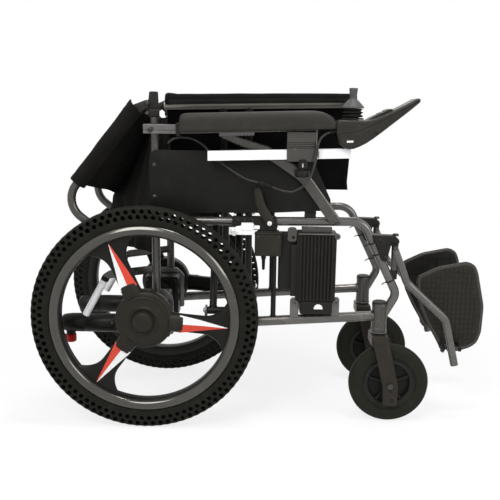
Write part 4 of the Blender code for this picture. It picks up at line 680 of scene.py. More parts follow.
def smooth_route(route, count):
    """Even points on a smooth curve through the route."""
    points = [Vector(point) for point in route]
    dense = []
    padded = [points[0] * 2 - points[1], *points, points[-1] * 2 - points[-2]]
    for a, b, c, d in zip(padded, padded[1:], padded[2:], padded[3:]):
        for step in range(8):
            t = step / 8
            dense.append(0.5 * (2 * b + (c - a) * t + (2 * a - 5 * b + 4 * c - d) * t * t +
                (3 * b - a - 3 * c + d) * t**3))
    dense.append(points[-1])
    lengths = [0.0]
    for first, second in zip(dense, dense[1:]):
        lengths.append(lengths[-1] + (second - first).length)
    made = []
    index = 0
    for number in range(count):
        wanted = lengths[-1] * number / (count - 1)
        while index < len(lengths) - 2 and lengths[index + 1] < wanted:
            index += 1
        share = (wanted - lengths[index]) / (lengths[index + 1] - lengths[index])
        made.append(dense[index].lerp(dense[index + 1], share))
    return made


def control_cable():
    """The joystick's lead: out of the case, down behind the clamp, up along the arm and in at its rear."""
    points = [point - Vector((AXLE_X, 0, 0)) for point in smooth_route(CABLE_ROUTE, 140)]
    curve = bpy.data.curves.new("control_lead", "CURVE")
    curve.dimensions = "3D"
    curve.bevel_depth = 0.0025
    curve.bevel_resolution = 4
    curve.use_fill_caps = True
    spline = curve.splines.new("POLY")
    spline.points.add(len(points) - 1)
    for point, place in zip(spline.points, points):
        point.co = (*place, 1.0)
    spline.use_smooth = True
    curve.materials.append(CABLE_BLACK)
    lead = linked("control_lead", curve)
    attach(lead, "arm_right")
    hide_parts("control_cable")

    middle = Vector(CABLE_ROUTE[12]).lerp(Vector(CABLE_ROUTE[13]), 0.5)
    way = (Vector(CABLE_ROUTE[13]) - Vector(CABLE_ROUTE[12])).normalized()
    start = middle - way * 0.018
    bore = 0.0033
    shell = turned([(bore, 0.0), (0.0044, 0.0), (0.005, 0.0008), (0.0062, 0.004), (0.0066, 0.005),
        (0.0066, 0.0064), (0.0059, 0.0068), (0.0059, 0.008), (0.0066, 0.0084), (0.0066, 0.01),
        (0.0059, 0.0104), (0.0059, 0.0116), (0.0066, 0.012), (0.0066, 0.016), (0.0058, 0.0168),
        (0.0058, 0.0176), (0.0074, 0.0182), (0.0078, 0.019), (0.0078, 0.029), (0.0072, 0.0298),
        (0.006, 0.0308), (0.0052, 0.035), (0.0045, 0.036), (bore, 0.036)], start, way, 28)
    plug = Piece("lead_connector").add(shell, SOFT_RUBBER)
    plug = plug.made("black_plastic", "arm_right", ["cable_connector"])
    relief = Piece("lead_relief")
    exit_at = Vector(CABLE_ROUTE[0])
    out = (Vector(CABLE_ROUTE[2]) - exit_at).normalized()
    relief.add(turned(mm(2, 2.9, -4, 5.8, -4, 5.4, 2, 4.4, 10, 3.3, 16, 2.9, 16), exit_at, out, 20),
        SOFT_RUBBER)
    relief.made("soft_rubber", "arm_right")


def weld(centre, way, radius):
    """A rippled bead of weld round a tube where it meets another."""
    way, across, other = square_to(way)
    rings = []
    for step in range(48):
        angle = 2 * pi * step / 48
        out = across * cos(angle) + other * sin(angle)
        swell = WELD_BEAD * (1 + 0.16 * sin(step * 2.4))
        ring = []
        for part in range(6):
            turn = part * pi / 3
            ring.append(Vector(centre) + out * (radius + swell * cos(turn)) + way *
                (swell * 1.5 * sin(turn)))
        rings.append(ring)
    shell = lofted(rings + rings[:1], caps=False)
    bmesh.ops.remove_doubles(shell, verts=shell.verts, dist=1e-7)
    return shell


def cable_tie(centre, way, radius, tail):
    """A black tie round a tube, with its cut tail."""
    band = turned([(radius + 0.0002, -0.0016), (radius + 0.0012, -0.0016), (radius + 0.0012, 0.0016),
        (radius + 0.0002, 0.0016)], centre, way, 28)
    start = Vector(centre) + Vector(tail).normalized() * radius
    end = start + Vector(tail)
    return band, sweep([start, start.lerp(end, 0.5) + Vector((0, 0, 0.001)), end], 0.0014, 8, 0.5)


def frame_tubes(side, s):
    """Bent upper rail, post, lower rail and upright, welded into one side frame."""
    y = s * FRAME_Y
    piece = Piece(f"frame_tubes_{side}")
    rail = eased([(POST_X, y, UPPER_RAIL_Z), (FRONT_BEND[0], y, FRONT_BEND[1]),
        (KNEE_BEND[0], y, KNEE_BEND[1]), (HOUSING_X + 0.004, y, 0.27)], (0.045, 0.03), 14)
    low = (POST_X, y, LOWER_RAIL_REAR_Z)
    # The upper and lower rails take the lightened grey: painted highlight.
    piece.add(sweep(rail, TUBE_R, 32), RAIL_GREY_PAINTED_HIGHLIGHT)
    piece.add(bar((POST_X, y, LOWER_RAIL_REAR_Z - 0.004), (POST_X, y, 0.768), POST_R, 32, edge=0.0012),
        FRAME_GREY)
    piece.add(bar(low, (HOUSING_X, y, LOWER_RAIL_FRONT_Z), LOWER_RAIL_R, 32), RAIL_GREY_PAINTED_HIGHLIGHT)
    upright_low = lower_rail_z(UPRIGHT_X)
    piece.add(bar((UPRIGHT_X, y, upright_low), (UPRIGHT_X, y, UPPER_RAIL_Z), UPRIGHT_R, 28), MOULDED_BLACK)
    piece.add(weld((UPRIGHT_X, y, upright_low + LOWER_RAIL_R), (0, 0, 1), UPRIGHT_R), MOULDED_BLACK)
    piece.add(weld((UPRIGHT_X, y, UPPER_RAIL_Z - 0.01), (0, 0, 1), UPRIGHT_R), MOULDED_BLACK)
    piece.add(weld((POST_X + POST_R, y, UPPER_RAIL_Z), (1, 0, 0), TUBE_R), FRAME_GREY)
    piece.add(weld((POST_X + POST_R, y, LOWER_RAIL_REAR_Z + 0.0005), (1, 0, 0), LOWER_RAIL_R), FRAME_GREY)
    piece.add(weld((HOUSING_X - 0.019, y, LOWER_RAIL_FRONT_Z - 0.001), (1, 0, 0.07), LOWER_RAIL_R),
        FRAME_GREY)
    piece.add(turned(mm(2, 0, -4.5, 8.5, -4.5, 10.2, -3, 10.2, 0), (*low[:2], low[2] - 0.003), (0, 0, 1),
        24), SOFT_RUBBER)
    piece.on_frame(side)


def caster_housing(side, s):
    """Bearing housing at the foot of the front tube, with its cap and lower bearing."""
    y = s * FRAME_Y
    piece = Piece(f"caster_housing_{side}")
    piece.add(turned(mm(2, 8.5, 241, 18.6, 241, 19.5, 242, 19.5, 250, 19, 250.6, 19, 305, 19.5, 305.6, 19.5,
        312, 18.6, 313.5, 8.5, 313.5), (HOUSING_X, y, 0), (0, 0, 1), 48), FRAME_GREY)
    piece.add(turned(mm(2, 0, 318, 15, 318, 18.2, 316.5, 19, 314, 19, 308, 0, 308), (HOUSING_X, y, 0),
        (0, 0, 1), 40), MOULDED_BLACK)
    piece.on_frame(side)


def axle_plate(side, s):
    """Welded plate that carries the axle and the motor, with its bolts."""
    piece = Piece(f"axle_plate_{side}")
    outline = eased_outline(mm(2, -30, 227, -15, 212, 62, 218, 62, 315, 42, 335, -15, 335, -30, 320), 0.006)
    piece.add(slab(outline, "Y", s * 0.1274, s * 0.1334, 0.001), BRACKET_GREY)
    for x, z in mm(2, -18, 236, 50, 236, -18, 322, 50, 306):
        piece.add(screw((x, s * 0.1334, z), (0, s, 0), 0.0052, 0.004), DARK_STEEL)
    piece.add(slab(arc((0, WHEEL_R), 0.0138, 6), "Y", s * 0.1334, s * 0.1395, 0.0012), PLATED)
    piece.on_frame(side)


def stay_rod(side, s):
    """White stay between the post's lug and the motor, with its clips."""
    y = s * 0.1255
    piece = Piece(f"motor_stay_{side}")
    top, low = Vector((-0.108, y, 0.3685)), Vector((-0.1655, y, 0.264))
    way = (low - top).normalized()
    piece.add(slab(eased_outline([(POST_X, 0.38), (POST_X, 0.4), (-0.1, 0.384), (-0.118, 0.372),
        (-0.108, 0.362)], 0.006), "Y", s * 0.1284, s * 0.1334, 0.001), FRAME_GREY)
    piece.add(bar(top + way * 0.008, low, 0.0092, 28, edge=0.0015), BRIGHT_BAR)
    piece.add(bar(top + way * 0.002, top + way * 0.014, 0.01, 28, edge=0.001), SOFT_RUBBER)
    piece.add(bar(top, top + way * 0.006, 0.005, 20), DARK_STEEL)
    piece.add(screw((top.x - 0.001, s * 0.1284, top.z + 0.002), (0, -s, 0), 0.0062, 0.003), PLATED)
    piece.on_frame(side)


def brace_lugs(side, s):
    """Welded lugs on the lower rail for the cross brace's foot, and their bolt heads."""
    piece = Piece(f"brace_lugs_{side}")
    for x in (BRACE_A_X[0] - 0.0175, BRACE_B_X[1] + 0.0175):
        outline = [(s * (FRAME_Y + 0.004), lower_rail_z(x)), (s * (PIVOT_Y - 0.013), BRACE_FOOT_Z - 0.01),
            (s * (PIVOT_Y - 0.013), BRACE_FOOT_Z + 0.006), (s * (PIVOT_Y - 0.006), BRACE_FOOT_Z + 0.013),
            (s * (PIVOT_Y + 0.006), BRACE_FOOT_Z + 0.013), (s * (FRAME_Y + 0.004), BRACE_FOOT_Z + 0.001)]
        piece.add(slab(outline, "X", x - 0.003, x + 0.003, 0.0008), FRAME_GREY)
    piece.on_frame(side)


def seat_saddle(side, s):
    """Moulded saddle on the upper rail that the seat rail drops into when the chair is open."""
    y = s * PIVOT_Y
    outline = [(y - 0.018, UPPER_RAIL_Z + 0.001), (y + 0.018, UPPER_RAIL_Z + 0.001), (y + 0.018, SADDLE_Z),
        (y + 0.015, SADDLE_Z + 0.002), (y + 0.0122, SADDLE_Z + 0.002), *arc((y, SADDLE_Z), 0.0118, 16, 0.0,
        -pi), (y - 0.0122, SADDLE_Z + 0.002), (y - 0.015, SADDLE_Z + 0.002), (y - 0.018, SADDLE_Z)]
    piece = Piece(f"seat_saddle_{side}")
    piece.add(slab(outline, "X", 0.392, 0.418, 0.0012), MOULDED_BLACK)
    for z in (0.529, 0.54):
        piece.add(plain_box((0.3912, y - 0.0184, z - 0.0015), (0.4188, y + 0.0184, z + 0.0015), 0.0005, 1),
            MOULDED_BLACK)
    piece.on_frame(side, "black_plastic")


def brake_mount(side, s):
    """Clamp plate that holds the parking brake on the upper rail."""
    piece = Piece(f"brake_mount_{side}")
    outline = eased_outline(mm(2, 212, 499, 322, 499, 322, 531, 212, 531), 0.005)
    piece.add(slab(outline, "Y", s * (FRAME_Y + 0.0085), s * 0.1655, 0.0012), MOULDED_BLACK)
    piece.add(slab(outline, "Y", s * (FRAME_Y - 0.001), s * (FRAME_Y + 0.0085), 0.001), FRAME_GREY)
    for x in (0.226, 0.244, 0.262):
        piece.add(screw((x, s * 0.1655, 0.524), (0, s, 0), 0.0036, 0.0018), DARK_STEEL)
    piece.on_frame(side, "plated")


def footrest_bracket(side, s):
    """Receiver on the front tube that the footrest hanger hangs and turns in."""
    y = s * FRAME_Y
    piece = Piece(f"footrest_bracket_{side}")
    for low_z, high_z in ((0.4615, 0.4675), (0.376, 0.398)):
        tube_x = front_tube_x((low_z + high_z) / 2)
        outline = [(tube_x, y - 0.0085), *arc((HANGER_X, y), 0.0085, 14, -pi / 2, pi / 2),
            (tube_x, y + 0.0085)]
        piece.add(slab(outline, "Z", low_z, high_z, 0.001), MOULDED_BLACK)
    cap = eased_outline(mm(2, 561, 468.5, 626, 468.5, 625, 478, 614.5, 487.2, 560, 489), 0.003)
    piece.add(slab(cap, "Y", y - 0.0125, y + 0.0125, 0.0018), MOULDED_BLACK)
    cheek = eased_outline(mm(2, 560, 488.5, 601, 486, 605, 464, 595.3, 421, 582, 426), 0.003)
    piece.add(slab(cheek, "Y", s * (FRAME_Y + 0.0114), s * (FRAME_Y + 0.0148), 0.001), MOULDED_BLACK)
    piece.add(slab(cheek, "Y", s * (FRAME_Y - 0.0148), s * (FRAME_Y - 0.0114), 0.001), MOULDED_BLACK)
    piece.add(turned(mm(2, 0, 0, 7.8, 0, 7.8, 4, 6, 5.8, 0, 6.4), (HANGER_X, y, 0.4856), (0, 0, 1), 24),
        DARK_STEEL)
    for x, z in ((0.576, 0.478), (0.593, 0.435)):
        piece.add(screw((x, s * (FRAME_Y + 0.0148), z), (0, s, 0), 0.004, 0.0024), DARK_STEEL)
    piece.on_frame(side, "black_plastic")


def frame_ties(side, s):
    """Cable ties on the front tube."""
    y = s * FRAME_Y
    piece = Piece(f"frame_ties_{side}")
    slope = Vector((KNEE_BEND[0] - FRONT_BEND[0], 0, KNEE_BEND[1] - FRONT_BEND[1])).normalized()
    for z, tail in ((0.468, (-0.012, 0, -0.006)), (0.44, (-0.01, 0, -0.004)), (0.372, (-0.011, 0, -0.006))):
        for shell in cable_tie((front_tube_x(z), y, z), slope, TUBE_R, tail):
            piece.add(shell, MOULDED_BLACK)
    piece.made("black_plastic", f"{side}_frame")


def arm_pin(side, s):
    """Bolt on the post that the armrest turns on."""
    piece = Piece(f"arm_pin_{side}")
    piece.add(bar((POST_X, s * FRAME_Y, ARM_Z), (POST_X, s * 0.183, ARM_Z), 0.005, 20), DARK_STEEL)
    piece.on_frame(side)


def cane_hinge(side, s):
    """Black hinge block on the post with its upright ear."""
    y = s * FRAME_Y
    low = 0.7684
    piece = Piece(f"back_hinge_{side}")
    piece.add(plain_box((POST_X - 0.012, y - POST_R, low), (POST_X + 0.012, y + POST_R, low + 0.0175),
        0.003, 3), MOULDED_BLACK)
    ear = eased_outline([(POST_X - 0.012, low + 0.01), (POST_X + 0.0105, low + 0.01),
        (POST_X + 0.0105, CANE_Z + 0.004), (POST_X + 0.0098, CANE_Z + 0.028),
        (POST_X - 0.011, CANE_Z + 0.028), (POST_X - 0.013, CANE_Z + 0.008),
        (CANE_X - 0.009, CANE_Z + 0.003), (CANE_X - 0.009, CANE_Z - 0.008)], 0.004)
    piece.add(slab(ear, "Y", y - 0.004, y + 0.004, 0.001), MOULDED_BLACK)
    piece.on_frame(side, "black_plastic", "cane_hinge")


def back_cane(side, s):
    """Back tube with its clevis and its bent end, and the grip on it."""
    y = s * FRAME_Y
    body = f"cane_{side}"
    corner = folded_cane(CANE_CORNER, 0, y)
    tip = folded_cane(CANE_CORNER, -HANDLE_LENGTH, y)
    path = eased([folded_cane(0.0288, 0, y), corner, tip], (CANE_BEND_R,), 18)
    piece = Piece(f"back_tube_{side}")
    piece.add(sweep(path, CANE_R, 32), FRAME_GREY)
    for edge in (-1, 1):
        inner = y + edge * 0.0044
        outline = []
        for along, out in ((-0.0075, -CANE_OFFSET - 0.005), (-0.0075, -CANE_OFFSET + 0.005),
                (0.0248, 0.008), (0.0488, 0.008), (0.0488, -0.008), (0.006, -CANE_OFFSET - 0.0085)):
            place = folded_cane(along, out, y)
            outline.append((place.x, place.z))
        piece.add(slab(eased_outline(outline, 0.004), "Y", inner, inner + edge * 0.004, 0.0008),
            HINGE_METAL)
    pivot = Vector((CANE_X, y, CANE_Z))
    piece.add(bar(pivot - Vector((0, 0.0074, 0)), pivot + Vector((0, 0.0074, 0)), 0.0035, 20), DARK_STEEL)
    for edge in (-1, 1):
        piece.add(screw(pivot + Vector((0, edge * 0.0084, 0)), (0, edge, 0), 0.0062, 0.003), DARK_STEEL)
    piece.made("frame_grey", body, [f"back_cane_{side}"])

    toward = (folded_cane(CANE_CORNER, -1, y) - corner).normalized()
    end = HANDLE_LENGTH + 0.004
    start = end - GRIP_LENGTH
    profile = [(CANE_R + 0.0004, start), (0.0168, start), (0.0175, start + 0.002), (0.016, start + 0.006)]
    for number in range(10):
        at = start + 0.01 + number * 0.0058
        profile += [(0.0155, at), (0.0155, at + 0.003), (0.0145, at + 0.0036), (0.0145, at + 0.0052)]
    profile += [(0.0155, end - 0.004), (0.0135, end - 0.001), (0.011, end), (0.004, end),
        (0.004, HANDLE_LENGTH + 0.0004)]
    profile += [(CANE_R + 0.0004, HANDLE_LENGTH + 0.0004)]
    Piece(f"handle_grip_{side}").add(turned(profile, corner, toward, 32), GRIP_RUBBER).made("soft_rubber",
        body, [f"push_grip_{side}"])


def side_panel(side, s):
    """Moulded clothes guard with its screws."""
    inner, outer = s * 0.1538, s * 0.1563
    outline = [(0.01, 0.556), (0.01, 0.667), *arc((0.026, 0.6765), 0.0135, 5, pi * 0.9, pi / 2),
        (0.397, 0.689), (0.452, 0.575), (0.452, 0.552), (0.446, 0.5475), (0.407, 0.546), (0.3, 0.54),
        (0.12, 0.5385), (0.03, 0.545)]
    piece = Piece(f"clothes_guard_{side}")
    piece.add(slab(eased_outline(outline, 0.003, 3), "Y", inner, outer, 0.0008), PANEL_BLACK)
    for z in (0.654, 0.577):
        piece.add(screw((POST_X, outer, z), (0, s, 0), 0.0048, 0.0017), DARK_STEEL)
    piece.on_frame(side, "black_plastic", "side_panel")


def seat_rise(x):
    """How much higher than its rear end the seat rail is at a place along it."""
    return 0.0095 * (x - 0.046) / 0.434


def cross_brace(letter, s, bar_x):
    """One half of the folding cross, with its foot barrel and its seat rail."""
    foot = Vector((0, s * PIVOT_Y, BRACE_FOOT_Z))
    head = Vector((0, -s * PIVOT_Y, SEAT_RAIL_Z))
    low_x, high_x = BRACE_A_X[0] - 0.0141, BRACE_B_X[1] + 0.0141
    piece = Piece(f"cross_frame_{letter}")
    piece.add(bar(foot + Vector((low_x, 0, 0)), foot + Vector((high_x, 0, 0)), 0.0095, 28, edge=0.001),
        BRACE_BLACK)
    for end, way in ((low_x - 0.008, -1), (high_x + 0.008, 1)):
        piece.add(bar(foot + Vector((end, 0, 0)), foot + Vector((end - way * 0.012, 0, 0)), 0.004, 20),
            PLATED)
        piece.add(screw(foot + Vector((end - way * 0.001, 0, 0)), (way, 0, 0), 0.0068, 0.004), PLATED)
    rail = [head + Vector((x, 0, seat_rise(x))) for x in (0.044, 0.492)]
    # Seat rail in the lifted satin colour: painted highlight.
    piece.add(bar(*rail, 0.011, 32, edge=0.001), SEAT_TUBE_PAINTED_HIGHLIGHT)
    for place, way in zip(rail, (-1, 1)):
        piece.add(turned(mm(2, 0, 5, 8, 4.5, 10.8, 2, 11.2, 0, 0, 0), place, (way, 0, 0), 28), SOFT_RUBBER)
    slope = (head - foot).normalized()
    for x in bar_x:
        step = Vector((x, 0, 0))
        over = head + step + Vector((0, 0, seat_rise(x)))
        piece.add(bar(foot + step, over, 0.0095, 28), BRACE_BLACK)
        piece.add(weld(foot + step + slope * 0.01, slope, 0.0095), BRACE_BLACK)
        piece.add(weld(over - slope * 0.0115, slope, 0.0095), BRACE_BLACK)
    piece.made("frame_grey", f"brace_{letter}", [f"cross_brace_{letter}"])


def cross_bolt():
    """Bolt and nut where the two halves of the brace cross."""
    head_x = BRACE_A_X[0] - 0.0099
    nut_x = BRACE_B_X[1] + 0.0099
    piece = Piece("cross_pivot_bolt")
    piece.add(bar((head_x - 0.001, 0, BRACE_MID_Z), (nut_x + 0.001, 0, BRACE_MID_Z), 0.004, 20), PLATED)
    for low, high in ((head_x - 0.005, head_x), (nut_x, nut_x + 0.006)):
        piece.add(slab(arc((0, BRACE_MID_Z), 0.0075, 6), "X", low, high, 0.0009), PLATED)
    piece.made("plated", "brace_a", ["cross_bolt"])


def arm_pad(side, s):
    """Moulded foam arm pad, soft-cornered."""
    centre = s * PAD_Y
    stations = ((0.089, 0.7, 0.8), (0.0905, 0.86, 0.9), (0.0945, 0.95, 0.96), (0.102, 0.99, 0.99),
        (0.115, 1.0, 1.0), (0.15, 1.0, 1.0), (0.2, 1.0, 1.0), (0.26, 1.0, 1.0), (0.33, 1.0, 1.0),
        (0.38, 1.0, 1.0), (0.4, 0.99, 0.995), (0.412, 0.955, 0.98), (0.423, 0.895, 0.96),
        (0.432, 0.815, 0.935), (0.44, 0.715, 0.9), (0.4465, 0.6, 0.86), (0.451, 0.48, 0.82),
        (0.454, 0.35, 0.78), (0.455, 0.24, 0.74))
    section = [(-0.9, 0.0), (-0.5, 0.0), (0.0, 0.0), (0.5, 0.0), (0.9, 0.0), (0.965, 0.02), (0.985, 0.07)]
    section += [(1.0, 0.085), (1.0, 0.16), (1.0, 0.3), (1.0, 0.45), (0.995, 0.6)]
    section += [(0.975, 0.72), (0.93, 0.83), (0.85, 0.92), (0.72, 0.97), (0.5, 0.992), (0.25, 1.0),
        (0.0, 1.0)]
    whole = section + [(-across, up) for across, up in reversed(section) if abs(across) > 1e-6 and (across,
        up) != (0.9, 0.0)]
    whole = [point for index, point in enumerate(whole) if whole.index(point) == index]
    low_part = [p for p in whole if p[1] == 0.0]
    rest = [p for p in whole if p[1] > 0.0]
    rings = []
    for x, tall_share, wide in stations:
        half = 0.055 / 2 * wide
        low = pad_low(x) + (0.004 if x > 0.4545 else 0.0)
        tall = pad_low(x) + 0.043 * tall_share - low
        ring = []
        for across, up in sorted(low_part) + rest:
            crown = 0.0006 * sin(pi * (across + 1) / 2)
            ring.append((x, centre + half * across, low + tall * up + (crown if up > 0.9 else 0)))
        rings.append(ring)
    piece = Piece(f"arm_pad_{side}").add(lofted(rings), ARM_FOAM)
    pad = piece.made("pad_grey", f"arm_{side}", [f"armrest_pad_{side}"], angle=60)


def pad_low(x):
    """The height of the arm pad's underside at a place along it."""
    return 0.7345 + 0.032 * (x - 0.089)


def bar_middle(x):
    """The height of the bright bar's middle at a place along it."""
    return 0.6795 + 0.03 * (x - 0.154)


def armrest_frame(side, s):
    """Rear bar with its groove and collar, the plate under the pad and the bent oval strut."""
    y = s * ARM_Y
    body = f"arm_{side}"
    piece = Piece(f"arm_bar_{side}")
    for low, high in ((ARM_Z - 0.011, ARM_Z - 0.0042), (ARM_Z - 0.003, ARM_Z + 0.011)):
        piece.add(plain_box((0.0, y - 0.0105, low), (0.078, y + 0.0105, high), 0.0014, 2), BRACKET_GREY)
    piece.add(plain_box((0.0012, y - 0.0093, ARM_Z - 0.0046), (0.077, y + 0.0093, ARM_Z - 0.0026), 0),
        DARK_STEEL)
    piece.add(screw((POST_X - 0.005, y + s * 0.0105, ARM_Z - 0.003), (0, s, 0), 0.0058, 0.003), DARK_STEEL)
    piece.add(plain_box((0.078, y - 0.0135, ARM_Z - 0.017), (0.0886, y + 0.0135, ARM_Z + 0.015), 0.003, 3),
        MOULDED_BLACK)
    piece.made("frame_grey", body, [f"armrest_frame_{side}"])

    piece = Piece(f"arm_support_{side}")
    rear, front = 0.085, 0.415
    outline = [(rear, pad_low(rear) - 0.0044), (front, pad_low(front) - 0.0044),
        (front, pad_low(front) - 0.0004), (rear, pad_low(rear) - 0.0004)]
    piece.add(slab(outline, "Y", y - 0.0105, y + 0.0105, 0.0008), FRAME_GREY)
    ridged = []
    for number in range(10):
        x = 0.18 + number * 0.0085
        for along, down in mm(2, 0, 13, 5.5, 13, 6.2, 10.5, 7.8, 10.5):
            ridged.append((x + along, pad_low(x) - down))
    top = [(x, pad_low(x) - 0.0044) for x in (ridged[-1][0], 0.18)]
    piece.add(slab(ridged + top, "Y", s * 0.1577, s * 0.1697, 0.0004, 1), BRACKET_GREY)
    piece.made("frame_grey", body, [f"armrest_frame_{side}"])

    strut_y = s * 0.1637
    path = eased([(0.19, strut_y, 0.734), (0.294, strut_y, 0.69), (0.385, strut_y, 0.63),
        (0.464, strut_y, 0.523)], (0.06, 0.12), 14)
    piece = Piece(f"arm_strut_{side}")
    rings = []
    for place, way in zip(path, ways_along(path)):
        up = Vector((-way.z, 0, way.x))
        ring = []
        for step in range(28):
            angle = 2 * pi * (step + 0.5) / 28
            flat = abs(cos(angle)) ** 0.55 * (1 if cos(angle) > 0 else -1)
            tall = abs(sin(angle)) ** 0.62 * (1 if sin(angle) > 0 else -1)
            spot = place + Vector((0, flat * 0.006, 0)) + up * tall * 0.014
            spot.z = min(spot.z, pad_low(spot.x) - 0.0044)
            ring.append(spot)
        rings.append(ring)
    piece.add(lofted(rings), FRAME_GREY)
    piece.add(turned(mm(2, 0, 6.6, 5, 6.6, 6.2, 5.8, 7, 4.5, 7, 0, 0, 0), (0.4685, strut_y, 0.5205),
        (0, s, 0), 28), DARK_STEEL)
    piece.made("frame_grey", body, [f"armrest_frame_{side}"])
    arm_pad(side, s)


def joystick_bar():
    """Bright bar under the right arm, its clamp and the clamp's screw knob."""
    s = -1
    y = s * BAR_Y
    half, rise = 0.0105, 0.0115

    def flat(rear, front, spare):
        return [(rear, bar_middle(rear) - rise - spare), (front, bar_middle(front) - rise - spare),
            (front, bar_middle(front) + rise + spare), (rear, bar_middle(rear) + rise + spare)]

    piece = Piece("control_bar")
    piece.add(slab(flat(0.154, 0.492, 0.0), "Y", y - half, y + half, 0.001), BRIGHT_BAR)
    piece.made("bright_bar", "control_arm", ["joystick_bar"])

    piece = Piece("bar_clamp_block")
    rear, front = 0.341, 0.411
    low = bar_middle(rear) - rise - 0.0022
    face = y - half - 0.006
    steps = [(face + 0.006, low), (y + half + 0.002, low),
        (y + half + 0.002, bar_middle(rear) - rise - 0.0004),
        (y - half - 0.0004, bar_middle(rear) - rise - 0.0004),
        (y - half - 0.0004, bar_middle(front) + rise + 0.0004),
        (y + half + 0.002, bar_middle(front) + rise + 0.0004), (y + half + 0.002, pad_low(rear) - 0.005),
        (face + 0.0005, pad_low(rear) - 0.005), (face + 0.0005, 0.7145), (face + 0.0022, 0.713),
        (face + 0.0022, 0.7105), (face + 0.0002, 0.709), (face + 0.0002, 0.706), (face + 0.0022, 0.7045),
        (face + 0.0022, 0.702), (face, 0.7), (face, 0.696), (face + 0.0008, 0.69), (face + 0.0022, 0.683),
        (face + 0.004, 0.675), (face + 0.0056, 0.669)]
    piece.add(slab(steps, "X", rear, front, 0.0009), FRAME_GREY)
    rail = [(0.411 + 0.0008, 0.742), (0.4118, 0.716), (0.4125, 0.706), (0.415, 0.699), (0.4162, 0.69),
        (0.4165, 0.678), (0.414, 0.6775), (0.413, 0.689), (0.4118, 0.697), (0.409, 0.704), (0.4085, 0.716),
        (0.4085, 0.742)]
    piece.add(slab(rail, "Y", face + 0.0004, face + 0.004, 0.0005), BRACKET_GREY)
    piece.made("black_plastic", "arm_right", ["bar_clamp"])

    piece = Piece("clamp_screw_knob")
    x, at = 0.379, s * 0.1905
    piece.add(bar((x, at, 0.646), (x, at, bar_middle(x) - rise - 0.0004), 0.004, 24), DARK_STEEL)
    piece.add(bar((x, at, 0.652), (x, at, bar_middle(x) - rise - 0.003), 0.011, 32, edge=0.0012),
        MOULDED_BLACK)
    # A thin plated rod set proud of the collar's front: painted highlight standing for the glint on the dark
    # screw.
    piece.add(bar((x, at - 0.0098, 0.6555), (x, at - 0.0098, 0.6655), 0.002, 16, edge=0.0008), PLATED)
    rings = []
    for z, radius in mm(2, 632, 12, 632.6, 15, 634.5, 17.2, 637.5, 18, 644, 18, 647, 17.2, 649, 14, 650, 9):
        ring = []
        for step in range(56):
            angle = 2 * pi * step / 56
            lobe = 1 - 0.1 * max(0.0, cos(7 * angle)) ** 3 * min(1.0, radius / 0.018)
            ring.append((x + radius * lobe * cos(angle), at + radius * lobe * sin(angle), z))
        rings.append(ring)
    piece.add(lofted(rings), MOULDED_BLACK)
    piece.made("black_plastic", "clamp_screw", ["clamp_knob"])


def case_ring(points, y, wide, inset):
    """A slice of the joystick case: its outline drawn in towards its middle by inset, at y + wide."""
    ring = []
    for before, at, after in corners_of(points):
        one = (at - before).normalized()
        two = (after - at).normalized()
        normal = Vector((-(one.y + two.y), one.x + two.x, 0)).normalized()
        spot = at + normal * inset
        ring.append((spot.x, y + wide, spot.y))
    return ring


